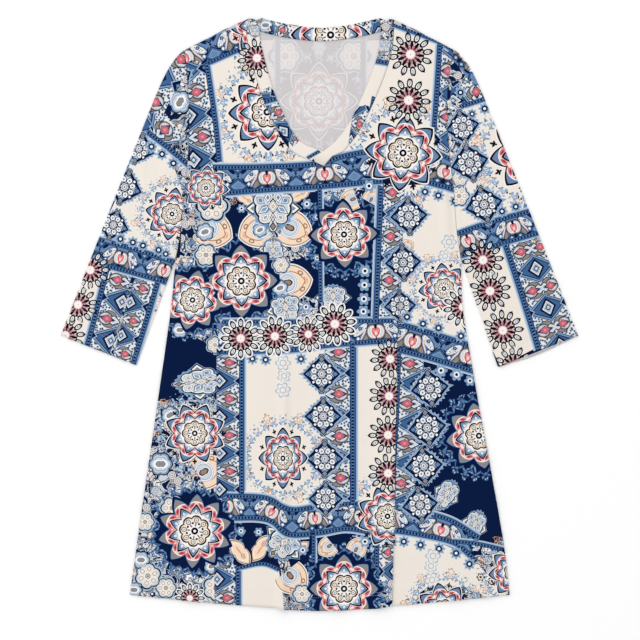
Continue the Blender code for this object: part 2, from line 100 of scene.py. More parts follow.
lampData = bpy.data.lights.new("softbox", "AREA")
lampData.energy = studio["lampPower"]
lampData.shape = "SQUARE"
lampData.size = studio["lampSize"]
lamp = addObject("softbox", lampData)
lamp.location = studio["lampPlace"]
lamp.rotation_mode = "QUATERNION"
lamp.rotation_quaternion = lamp.location.to_track_quat("Z", "Y")
print("camera and lights are in place")

# Sizes, as in the solids
cloth = {
    "wall": 1.2,  # jersey
    "bandWall": 1.5,  # the same jersey folded double
    "seamGap": 0.3,
    "turnRadius": 0.9,
    "slackRise": 0.5,
    "slackEdge": 45,  # how far in from the sides the cloth stays pulled level
    "foldCalm": 22,  # beside the lying fold
    "sideCalm": 12,
    "weld": 0.01,
    "sharpTurn": 50,  # degrees
    "ripple": 0.16,  # height of the unevenness that jersey keeps when it lies
}
hem = {"middle": -442.7, "rise": 22.0, "bow": 1.45, "half": 285.0, "drop": 2.2, "backLift": 1.5}
neck = {"bandWidth": 19.0, "firstStep": 20.0, "point": 444.8, "backDrop": 14.3, "backBow": 1.7,
        "notchRow": 215.0}
body = {"underarm": 82.0, "shoulder": 397.0, "shoulderBow": 3.5}
fold = {"edgeAtHem": 108.8, "lean": 0.0196, "ramp": 26.0, "opens": (100.0, 142.0)}
levels = {
    "lower": cloth["wall"] / 2,
    "front": cloth["wall"] + cloth["seamGap"] + cloth["wall"] / 2,
    "band": cloth["wall"] + cloth["seamGap"] + cloth["bandWall"] / 2,
    "bandCrown": 0.2,
    "neckLift": 0.35,
}
levels["bandOver"] = levels["band"] + cloth["bandWall"] + levels["bandCrown"] + cloth["seamGap"]
mesh = {
    "leftColumns": 46,
    "ridgeSteps": np.linspace(-11.0, 11.0, 15),
    "middleColumns": 15,
    "rightColumns": 42,
    "rowStep": 5.0,
    "foldRowStep": 2.5,
    "turnSteps": 6,
    "neckRows": 40,
    "backRows": (72, 46),  # below and above the underarm
    "backNeckSteps": 33,
    "shoulderSteps": 18,
    "bandAcross": 7,
    "sleeveRings": 64,
    "sleeveAcross": 34,
    "sleeveTurn": 8,
    "sleeveBelow": 12,
}

Side = namedtuple("Side", "height left right")
bodySides = (
    Side(-422, -284.5, 285.5), Side(-356, -275.5, 278.0), Side(-248, -260.0, 260.0),
    Side(-86, -236.5, 230.5), Side(22, -221.5, 214.0), Side(82, -215.5, 212.0),
    Side(124, -208.5, 206.0), Side(190, -201.5, 201.0), Side(245, -196.5, 194.5),
    Side(304, -195.5, 191.0), Side(344, -197.5, 192.5), Side(397, -201.5, 201.0),
)
neckEdges = {
    "left": ((6.0, 245.0), (-24.0, 256.5), (-41.0, 275.0), (-57.0, 307.5),
             (-68.5, 335.0), (-83.0, 385.0), (-90.0, 422.0), (-86.2, 444.8)),
    "right": ((6.0, 245.0), (20.5, 256.5), (39.5, 279.5), (55.0, 307.5),
              (75.0, 353.5), (88.0, 392.0), (92.2, 424.0), (89.8, 444.8)),
}
crossing = {"top": (6.0, 245.0), "left": (-11.5, 231.0), "right": (19.0, 237.5), "bottom": (6.5, 222.9)}
Sleeve = namedtuple("Sleeve", "height out")
sleeveTop = (
    Sleeve(397, 203.5), Sleeve(389, 212.0), Sleeve(381, 218.5), Sleeve(364, 229.5),
    Sleeve(328, 246.0), Sleeve(238, 282.0), Sleeve(112, 332.3), Sleeve(-31.5, 388.3),
)
cuffSeam = {"left": (-275.0, -76.0), "right": (268.0, -79.0)}
armholeRoom = {"shoulder": 1.6, "underarm": 0.6}
cuffPeek = 4.0
overlapRows = ((-450, 16.5), (-31, 16.5), (14, 6.5), (79, 3.7), (134, 0.0), (450, 0.0))

Ridge = namedtuple("Ridge", "x1 y1 x2 y2 width rise1 rise2")
frontRidges = (  # main folds, as in the solids
    Ridge(-57, -460, -54, -190, 12, 7.0, 5.0),
    Ridge(-54, -190, -53, 40, 12, 5.0, 0.0),
    Ridge(-186, 340, -193, 130, 13, 1.5, 3.0),
    Ridge(182, 340, 190, 130, 13, 1.5, 3.0),
    Ridge(-150, 150, -196, 60, 16, 0.5, 2.2),
    Ridge(150, 160, 192, 66, 16, 0.5, 2.2),
    Ridge(-190, -440, -160, -230, 30, 2.6, 0.3),
    Ridge(205, -440, 190, -220, 30, 2.2, 0.3),
    Ridge(30, -455, 24, -250, 26, 2.0, 0.2),
)
frontCreases = (  # narrow creases of the cloth itself
    Ridge(-190, 290, -178, 205, 6, 1.22, 2.16),
    Ridge(-172, 250, -186, 165, 5, 0.54, 1.76),
    Ridge(-194, 215, -168, 150, 6, 1.49, 0.41),
    Ridge(186, 300, 176, 215, 6, 1.22, 2.03),
    Ridge(170, 262, 188, 178, 5, 0.54, 1.89),
    Ridge(192, 228, 160, 158, 6, 1.62, 0.41),
    Ridge(-120, 190, -60, 214, 9, 0.27, 0.68),
    Ridge(112, -402, 182, -404, 4, 1.22, 0.68),
    Ridge(-246, -380, -236, -250, 22, 1.3, 0.1),
    Ridge(66, -440, 70, -300, 18, 1.2, 0.1),
    Ridge(250, -420, 236, -300, 16, 1.0, 0.1),
)
sleeveRidges = {
    "left": (
        Ridge(-222, 330, -234, 120, 16, 2.6, 1.2),
        Ridge(-262, 190, -222, 110, 14, 0.6, 2.2),
        Ridge(-330, 20, -285, -60, 20, 0.6, 1.8),
        Ridge(-263, 248, -266, 128, 7, 1.08, 1.22),
        Ridge(-214, 270, -228, 196, 5, 1.62, 1.35),
        Ridge(-220, 224, -244, 164, 5, 1.76, 0.68),
    ),
    "right": (
        Ridge(216, 330, 230, 120, 16, 2.6, 1.2),
        Ridge(262, 190, 220, 105, 14, 0.6, 2.2),
        Ridge(330, 20, 282, -60, 20, 0.6, 1.8),
        Ridge(208, 290, 222, 216, 5, 1.62, 1.49),
        Ridge(212, 236, 240, 172, 5, 1.89, 0.54),
        Ridge(300, 150, 316, 60, 8, 0.41, 0.94),
    ),
}


def smoothStep(value):
    value = np.clip(value, 0.0, 1.0)
    return value * value * (3 - 2 * value)


def readTable(rows, key, wanted, at):
    keys = [getattr(row, key) for row in rows]
    values = [getattr(row, wanted) for row in rows]
    if keys[0] > keys[-1]:
        keys.reverse()
        values.reverse()
    slopes = np.gradient(values, keys)
    at = min(max(at, keys[0]), keys[-1])
    index = min(int(np.searchsorted(keys, at, side="right")) - 1, len(keys) - 2)
    span = keys[index + 1] - keys[index]
    t = (at - keys[index]) / span
    return (
        (2 * t**3 - 3 * t**2 + 1) * values[index]
        + (t**3 - 2 * t**2 + t) * span * slopes[index]
        + (3 * t**2 - 2 * t**3) * values[index + 1]
        + (t**3 - t**2) * span * slopes[index + 1]
    )


def curveThrough(points, steps=24):
    points = np.array(points, dtype=float)
    ends = np.vstack([2 * points[0] - points[1], points, 2 * points[-1] - points[-2]])
    line = []
    for a, b, c, d in zip(ends, ends[1:], ends[2:], ends[3:]):
        for step in range(steps):
            t = step / steps
            line.append(
                0.5 * (2 * b + (c - a) * t + (2 * a - 5 * b + 4 * c - d) * t**2
                       + (3 * b - a - 3 * c + d) * t**3)
            )
    line.append(points[-1])
    return np.array(line)


def atLength(line, lengths):
    steps = np.linalg.norm(np.diff(line, axis=0), axis=1)
    total = np.concatenate([[0.0], np.cumsum(steps)])
    lengths = np.array(lengths)
    places = np.column_stack([np.interp(lengths, total, line[:, axis]) for axis in range(2)])
    ahead = np.column_stack([np.interp(lengths + 1, total, line[:, axis]) for axis in range(2)])
    behind = np.column_stack([np.interp(lengths - 1, total, line[:, axis]) for axis in range(2)])
    ways = ahead - behind
    return places, ways / np.linalg.norm(ways, axis=1)[:, None], total[-1]


def sideX(height, side, inset=0.0):
    x = readTable(bodySides, "height", side, height)
    return x + inset if side == "left" else x - inset


def hemHeight(x):
    bowed = hem["middle"] + hem["rise"] * (np.abs(x) / hem["half"]) ** hem["bow"]
    pastRidge = smoothStep((x + 66) / 20)
    beforeFold = 1 - smoothStep((x - fold["edgeAtHem"] + 20) / 20)
    return bowed - hem["drop"] * pastRidge * beforeFold


def shoulderPoint(side):
    return np.array([sideX(body["shoulder"], side), body["shoulder"]])


def ridgeRise(ridges, x, y, summed=False):
    x, y = np.broadcast_arrays(np.asarray(x, dtype=float), np.asarray(y, dtype=float))
    rise = np.zeros(x.shape)
    for ridge in ridges:
        dx, dy = ridge.x2 - ridge.x1, ridge.y2 - ridge.y1
        length = math.hypot(dx, dy)
        share = ((x - ridge.x1) * dx + (y - ridge.y1) * dy) / length**2
        away = np.abs((x - ridge.x1) * dy - (y - ridge.y1) * dx) / length
        ends = smoothStep((share + 0.25) * 4) * smoothStep((1.25 - share) * 4)
        height = ridge.rise1 + (ridge.rise2 - ridge.rise1) * np.clip(share, 0, 1)
        bump = height * ends * (0.5 + 0.5 * np.cos(np.pi * np.minimum(away / ridge.width, 1)))
        rise = rise + bump if summed else np.maximum(rise, bump)
    return rise


def ripple(x, y):
    # slow and quick waves together, never below nothing
    waves = (
        np.sin(x / 9.1 + 1.7 * np.sin(y / 31.0)) * np.sin(y / 23.0 + 0.8)
        + 0.8 * np.sin(x / 17.3 - y / 21.7)
        + 0.6 * np.sin(x / 6.3 + y / 11.9 + 1.1) * np.sin(x / 41.0 - 0.4)
    )
    return cloth["ripple"] * (waves + 2.4)


def slackWave(x, y):
    return cloth["slackRise"] * (1 + 0.5 * np.sin(x / 61 + y / 97))


def slack(x, y, left, right):
    inside = smoothStep(np.minimum(x - left, right - x) / cloth["slackEdge"])
    return inside * slackWave(x, y)


def bandRows(side):
    edge = neckEdges[side]
    other = "right" if side == "left" else "left"
    outSign = -1 if side == "left" else 1
    line = curveThrough(edge)
    length = atLength(line, [0.0])[2]
    stops = np.linspace(neck["firstStep"], length, mesh["neckRows"] - 1)
    places, ways, _ = atLength(line, stops)
    rows = [
        (np.array(crossing[other]), np.array(crossing["bottom"])),
        (np.array(crossing["top"]), np.array(crossing[side])),
    ]
    for place, way in zip(places, ways):
        outward = np.array([way[1], -way[0]]) * outSign
        if outward[0] * outSign < 0:
            outward = -outward
        rows.append((place, place + outward * neck["bandWidth"]))
    alongShoulder = shoulderPoint(side) - places[-1]
    alongShoulder /= np.linalg.norm(alongShoulder)
    rows[-1] = (places[-1], places[-1] + alongShoulder * neck["bandWidth"])
    return rows


def outwards(inner, outer, distance=0.4):
    way = outer - inner
    return outer + way / np.linalg.norm(way) * distance


def neckEdgeOfFront(side):
    points = [outwards(inner, outer) for inner, outer in bandRows(side)]
    points[0] = np.array(crossing["bottom"]) + np.array([0.0, -1.4 * cloth["seamGap"]])
    return np.array(points)


def foldSection(edge, height, level):
    opens, shut = fold["opens"]
    radius, turnSteps = cloth["turnRadius"], mesh["turnSteps"]
    turn = math.pi * (1 - smoothStep((height - opens) / (shut - opens)))
    overlap = np.interp(height, *zip(*overlapRows)) * smoothStep((turn - math.pi / 2) / (math.pi / 2))
    rise = 2 * radius * (1 - math.cos(turn)) + overlap * math.sin(turn)
    start = edge - radius - cloth["wall"] / 2
    top = start - overlap - 3.0
    section = [
        (top - fold["ramp"] * (1 - share), level + rise * smoothStep(share))
        for share in np.linspace(0, 1, 10)
    ]

    def bend(x, z, heading, way):
        section.append((x, z))
        for step in range(1, turnSteps + 1):
            angle = turn * step / turnSteps + heading
            flat = (1 - turn / math.pi) * radius * step / turnSteps
            section.append((
                x + radius * (math.sin(angle) - math.sin(heading)) + flat,
                z - way * radius * (math.cos(heading) - math.cos(angle)),
            ))

    bend(start, level + rise, 0.0, 1)
    x, z = section[-1]
    bend(x + (overlap * math.cos(turn) + 0.5 * (1 + math.cos(turn))), z - overlap * math.sin(turn), -turn, -1)
    return np.array(section)


def foldEdgeAt(height):
    return fold["edgeAtHem"] + fold["lean"] * (height - hem["middle"])


def frontLift(x, y, left, right, level, section):
    overhang = section[:, 0].max() - section[-1, 0]
    fromFold = np.maximum(np.maximum(section[0, 0] - x, x - section[-1, 0] - overhang), 0.0)
    free = smoothStep(fromFold / cloth["foldCalm"])
    loose = levels["front"] + slack(x, y, left, right) + ridgeRise(frontRidges, x, y)
    loose += ridgeRise(frontCreases, x, y, summed=True) + ripple(x, y)
    atEdge = smoothStep(np.minimum(x - left, right - x) / cloth["sideCalm"])
    return level * (1 - free) + (levels["front"] * (1 - atEdge) + loose * atEdge) * free


def frontRow(height):
    left, right = sideX(height, "left"), sideX(height, "right")
    level = levels["front"] + cloth["slackRise"]
    section = foldSection(foldEdgeAt(height), height, level)
    ridge = np.interp(height, (-445, -300, -210, -23), (-57, -59, -55, -53.5))
    steps, middle = mesh["ridgeSteps"], mesh["middleColumns"]
    toRidge = (np.arange(mesh["leftColumns"]) / mesh["leftColumns"]) ** 1.2
    toFold = (np.arange(mesh["rightColumns"] + 1) / mesh["rightColumns"]) ** 1.2
    notchX = crossing["bottom"][0]
    before = np.concatenate([
        left + (ridge + steps[0] - left) * toRidge,
        ridge + steps,
        np.linspace(ridge + steps[-1], notchX, middle + 1)[1:],
        np.linspace(notchX, section[0, 0], middle + 1)[1:-1],
    ])
    after = (right + (section[-1, 0] - right) * toFold)[::-1][1:]
    beforeZ = frontLift(before, height, left, right, level, section)
    afterZ = frontLift(after, height, left, right, level, section)
    x = np.concatenate([before, section[:, 0], after])
    return x, np.concatenate([beforeZ, section[:, 1], afterZ])


def frontGrids():
    start, opens, shut = bodySides[0].height, *fold["opens"]
    step = mesh["rowStep"]
    heights = np.concatenate([
        np.linspace(start, opens, round((opens - start) / step) + 1),
        np.linspace(opens, shut, round((shut - opens) / mesh["foldRowStep"]) + 1)[1:],
        np.linspace(shut, neck["notchRow"], round((neck["notchRow"] - shut) / step) + 1)[1:],
    ])
    tip = neckEdgeOfFront("left")[0]
    rows = []
    for height in heights:
        share = (height - heights[0]) / (heights[-1] - heights[0])
        x, z = frontRow(height)
        lifted = (hemHeight(x) - start) * (1 - share) ** 2
        half = np.where(x < tip[0], x - x[0], x[-1] - x)
        width = np.where(x < tip[0], tip[0] - x[0], x[-1] - tip[0])
        tent = (tip[1] - neck["notchRow"]) * np.maximum(half, 0.0) / width * share**8
        rows.append(np.column_stack([x, height + lifted + tent, z]))
    split = mesh["leftColumns"] - 1 + len(mesh["ridgeSteps"]) + mesh["middleColumns"]
    return [rows, upperHalf("left", rows[-1][: split + 1]), upperHalf("right", rows[-1][split:])]


def upperHalf(side, firstRow):
    edge = neckEdgeOfFront(side)
    arcs = np.concatenate([[0.0], np.cumsum(np.linalg.norm(np.diff(edge, axis=0), axis=1))])
    span = np.linalg.norm(firstRow[-1, :2] - firstRow[0, :2])
    first = np.linalg.norm(firstRow[:, :2] - firstRow[0, :2], axis=1) / span
    even = np.linspace(0, 1, len(firstRow))
    rows = [firstRow]
    for index in range(1, len(edge)):
        share = arcs[index] / arcs[-1]
        height = neck["notchRow"] + (body["shoulder"] - neck["notchRow"]) * share
        arm = np.array([sideX(height, side), height])
        start, stop = (arm, edge[index]) if side == "left" else (edge[index], arm)
        along = first * (1 - share) + even * share
        places = start + (stop - start) * along[:, None]
        places[:, 1] += body["shoulderBow"] * np.sin(math.pi * along) * share**6
        inside = smoothStep(np.minimum(along, 1 - along) * np.linalg.norm(stop - start) / 30)
        x, y = places.T
        loose = slackWave(x, y) + ripple(x, y)
        loose += ridgeRise(frontRidges, x, y) + ridgeRise(frontCreases, x, y, summed=True)
        top = smoothStep((body["shoulder"] + 30 - y) / 40)
        rows.append(np.column_stack([x, y, levels["front"] + inside * loose * top]))
    return rows


def backNeckRows():
    left, right = bandRows("left")[-1], bandRows("right")[-1]
    middle, half = (left[0][0] + right[0][0]) / 2, (right[0][0] - left[0][0]) / 2
    rows = [left]
    for share in np.linspace(-0.955, 0.955, mesh["backNeckSteps"]):
        rise = neck["backDrop"] * abs(share) ** neck["backBow"]
        slope = neck["backDrop"] * neck["backBow"] * abs(share) ** (neck["backBow"] - 1) / half
        upper = np.array([middle + half * share, neck["point"] - neck["backDrop"] + rise])
        down = np.array([math.copysign(slope, share), -1.0])
        down /= np.linalg.norm(down)
        lower = upper + down * (neck["bandWidth"] + 1)
        away = smoothStep((abs(share) - 0.86) / 0.095)
        lower = lower + away * np.array([math.copysign(4.0, share), 2.0])
        rows.append((upper, lower))
    rows.append(right)
    return rows


def shoulderLine(start, stop, steps):
    shares = np.linspace(0, 1, steps + 1)[:, None]
    bow = np.column_stack([np.zeros(steps + 1), body["shoulderBow"] * np.sin(math.pi * shares[:, 0])])
    return start + (stop - start) * shares + bow


def backGrid():
    edge = np.array([outwards(upper, lower) for upper, lower in backNeckRows()])
    leftTop = shoulderLine(shoulderPoint("left"), edge[0], mesh["shoulderSteps"])
    rightTop = shoulderLine(edge[-1], shoulderPoint("right"), mesh["shoulderSteps"])
    top = np.vstack([leftTop[:-1], edge, rightTop[1:]])
    start, stop = bodySides[0].height, body["shoulder"]
    heights = np.concatenate([
        np.linspace(start, body["underarm"], mesh["backRows"][0]),
        np.linspace(body["underarm"], stop, mesh["backRows"][1])[1:],
    ])
    along = np.linspace(0, 1, len(top))
    atTop = (top[:, 0] - top[0, 0]) / (top[-1, 0] - top[0, 0])
    rows = []
    for height in heights:
        share = (height - start) / (stop - start)
        left, right = sideX(height, "left"), sideX(height, "right")
        x = left + (right - left) * (along * (1 - share) + atTop * share)
        bowed = hem["middle"] + hem["rise"] * (np.abs(x) / hem["half"]) ** hem["bow"]
        lifted = bowed + hem["backLift"] - start
        y = height + lifted * (1 - share) ** 2 + (top[:, 1] - stop) * share**5
        rows.append(np.column_stack([x, y, np.zeros(len(x))]))
    return rows


def bandGrid(side):
    rows = []
    for index, (inner, outer) in enumerate(bandRows(side)):
        over = side == "right" and index < 2
        level = levels["bandOver"] if over else levels["band"]
        level += levels["neckLift"] * smoothStep((max(inner[1], outer[1]) - 395) / 20)
        across = np.linspace(0, 1, mesh["bandAcross"])
        crown = levels["bandCrown"] * (1 - (2 * across - 1) ** 2)
        places = inner + (outer - inner) * across[:, None]
        row = np.column_stack([places, level + crown])
        rows.append(row if side == "right" else row[::-1])
    return rows


def sleeveFrame(side):
    sign = -1 if side == "left" else 1

    def near(share):
        return 1 - smoothStep(share * (body["shoulder"] - body["underarm"]) / 12)

    def armhole(share):
        height = body["underarm"] + (body["shoulder"] - body["underarm"]) * (1 - share)
        room = armholeRoom["shoulder"] * near(share) + armholeRoom["underarm"] * near(1 - share)
        return np.array([sideX(height, side, -cloth["seamGap"] - 0.1 - room), height])

    upperLine = curveThrough([(sign * row.out, row.height) for row in sleeveTop])
    upperLine[0] = armhole(0.0)
    length = atLength(upperLine, [0.0])[2]

    def upper(share):
        return atLength(upperLine, [share**1.15 * length])[0][0]

    def under(share):
        start = armhole(1.0)
        return start + (np.array(cuffSeam[side]) - start) * share

    def cuff(share):
        start = upper(1.0)
        return start + (np.array(cuffSeam[side]) - start) * share

    return armhole, cuff, upper, under


def sleevePlace(edges, along, across):
    armhole, cuff, upper, under = edges
    ruled = (1 - along) * armhole(across) + along * cuff(across)
    sides = (1 - across) * upper(along) + across * under(along)
    corners = (
        (1 - along) * ((1 - across) * armhole(0) + across * armhole(1))
        + along * ((1 - across) * cuff(0) + across * cuff(1))
    )
    return ruled + sides - corners


def edgeOutward(edges, along, across):
    edge = edges[2] if across < 0.5 else edges[3]
    way = edge(min(along + 0.01, 1.0)) - edge(max(along - 0.01, 0.0))
    outward = np.array([way[1], -way[0]]) / np.linalg.norm(way)
    inside = sleevePlace(edges, along, 0.5) - edge(along)
    return outward if outward @ inside < 0 else -outward


def sleeveGrid(side):
    edges = sleeveFrame(side)
    radius = (levels["front"] + 0.1 - levels["lower"]) / 2
    rings, acrossSteps, turnSteps, below = [], mesh["sleeveAcross"], mesh["sleeveTurn"], mesh["sleeveBelow"]
    for index in range(mesh["sleeveRings"] + 1):
        along = index / mesh["sleeveRings"]
        ends = {across: sleevePlace(edges, along, across) for across in (0.0, 1.0)}
        outs = {across: edgeOutward(edges, along, across) for across in (0.0, 1.0)}
        width = np.linalg.norm(ends[1.0] - ends[0.0])
        starts = {across: ends[across] - outs[across] * (radius + cloth["wall"] / 2) for across in ends}
        ring = []
        for step in range(acrossSteps + 1):
            across = step / acrossSteps
            place = starts[across] if across in starts else sleevePlace(edges, along, across)
            held = smoothStep(min(across, 1 - across) * width / 18) * smoothStep(along * 12)
            held *= 0.35 + 0.65 * smoothStep((1 - along) * 10)
            lift = 0.4 + 0.2 * math.sin(place[1] / 31) + ripple(*place)
            lift += float(ridgeRise(sleeveRidges[side], *place))
            ring.append((*place, levels["lower"] + 2 * radius + lift * held))
        for across, upwards in ((1.0, 1), (0.0, -1)):
            for step in range(1, turnSteps):
                angle = math.pi * step / turnSteps
                place = starts[across] + outs[across] * radius * math.sin(angle)
                ring.append((*place, levels["lower"] + radius * (1 + math.cos(angle) * upwards)))
            if across == 1.0:
                for step in range(below, -1, -1):
                    low = step / below
                    place = starts[low] if low in starts else sleevePlace(edges, along, low)
                    if side == "right":  # the lower layer peeks out past the cuff
                        before = sleevePlace(edges, max(along - 0.02, 0), low)
                        way = sleevePlace(edges, max(along, 0.02), low) - before
                        peek = cuffPeek * math.sin(math.pi * low) * smoothStep((along - 0.94) / 0.06)
                        place = place + way / np.linalg.norm(way) * peek
                    ring.append((*place, levels["lower"]))
        ring.append(ring[0])
        rings.append(ring)
    return rings


# The print is charted in steps of 1.5 mm, across from the left and down from the neck.
# zone 1 is left of the lying fold, zone 2 right of it, and 0 is both.
chart = {
    "step": 1.5,  # mm
    "middleAcross": 319.5,
    "middleDown": 314.5,
    "faceMargin": 3.0,  # how far the faces round a mark stick out past it
    "nowhere": 9.0,  # where the faces that no mark reaches are sent
    "farOutside": -50.0,  # of an area's edge
    "foldEnds": 22,  # mm up the garment, where the lying fold stops dividing the print
}

Mark = namedtuple("Mark", "across down size turn look zone", defaults=(0, 0, 0))
Strip = namedtuple("Strip", "line half at period kind zone", defaults=(1, 0))  # kind 1 hearts, -1 eyes
Chain = namedtuple("Chain", "line half fadeSide zone", defaults=(1, 0))

# how far each kind of mark reaches from its middle, in its own size
markReach = {
    "medallions": 1.75, "palmettes": 1.3, "wings": 1.15, "leaves": 1.1, "lozenges": 1.35, "florets": 1.3,
    "daisies": 1.15,
}

# the sizes that the strips and the chain are drawn in, before a place on the chart stretches them
drawnStrips = {"hearts": {"half": 13.0, "period": 58.0}, "eyes": {"half": 12.5, "period": 40.0}}
drawnChain = 2.7

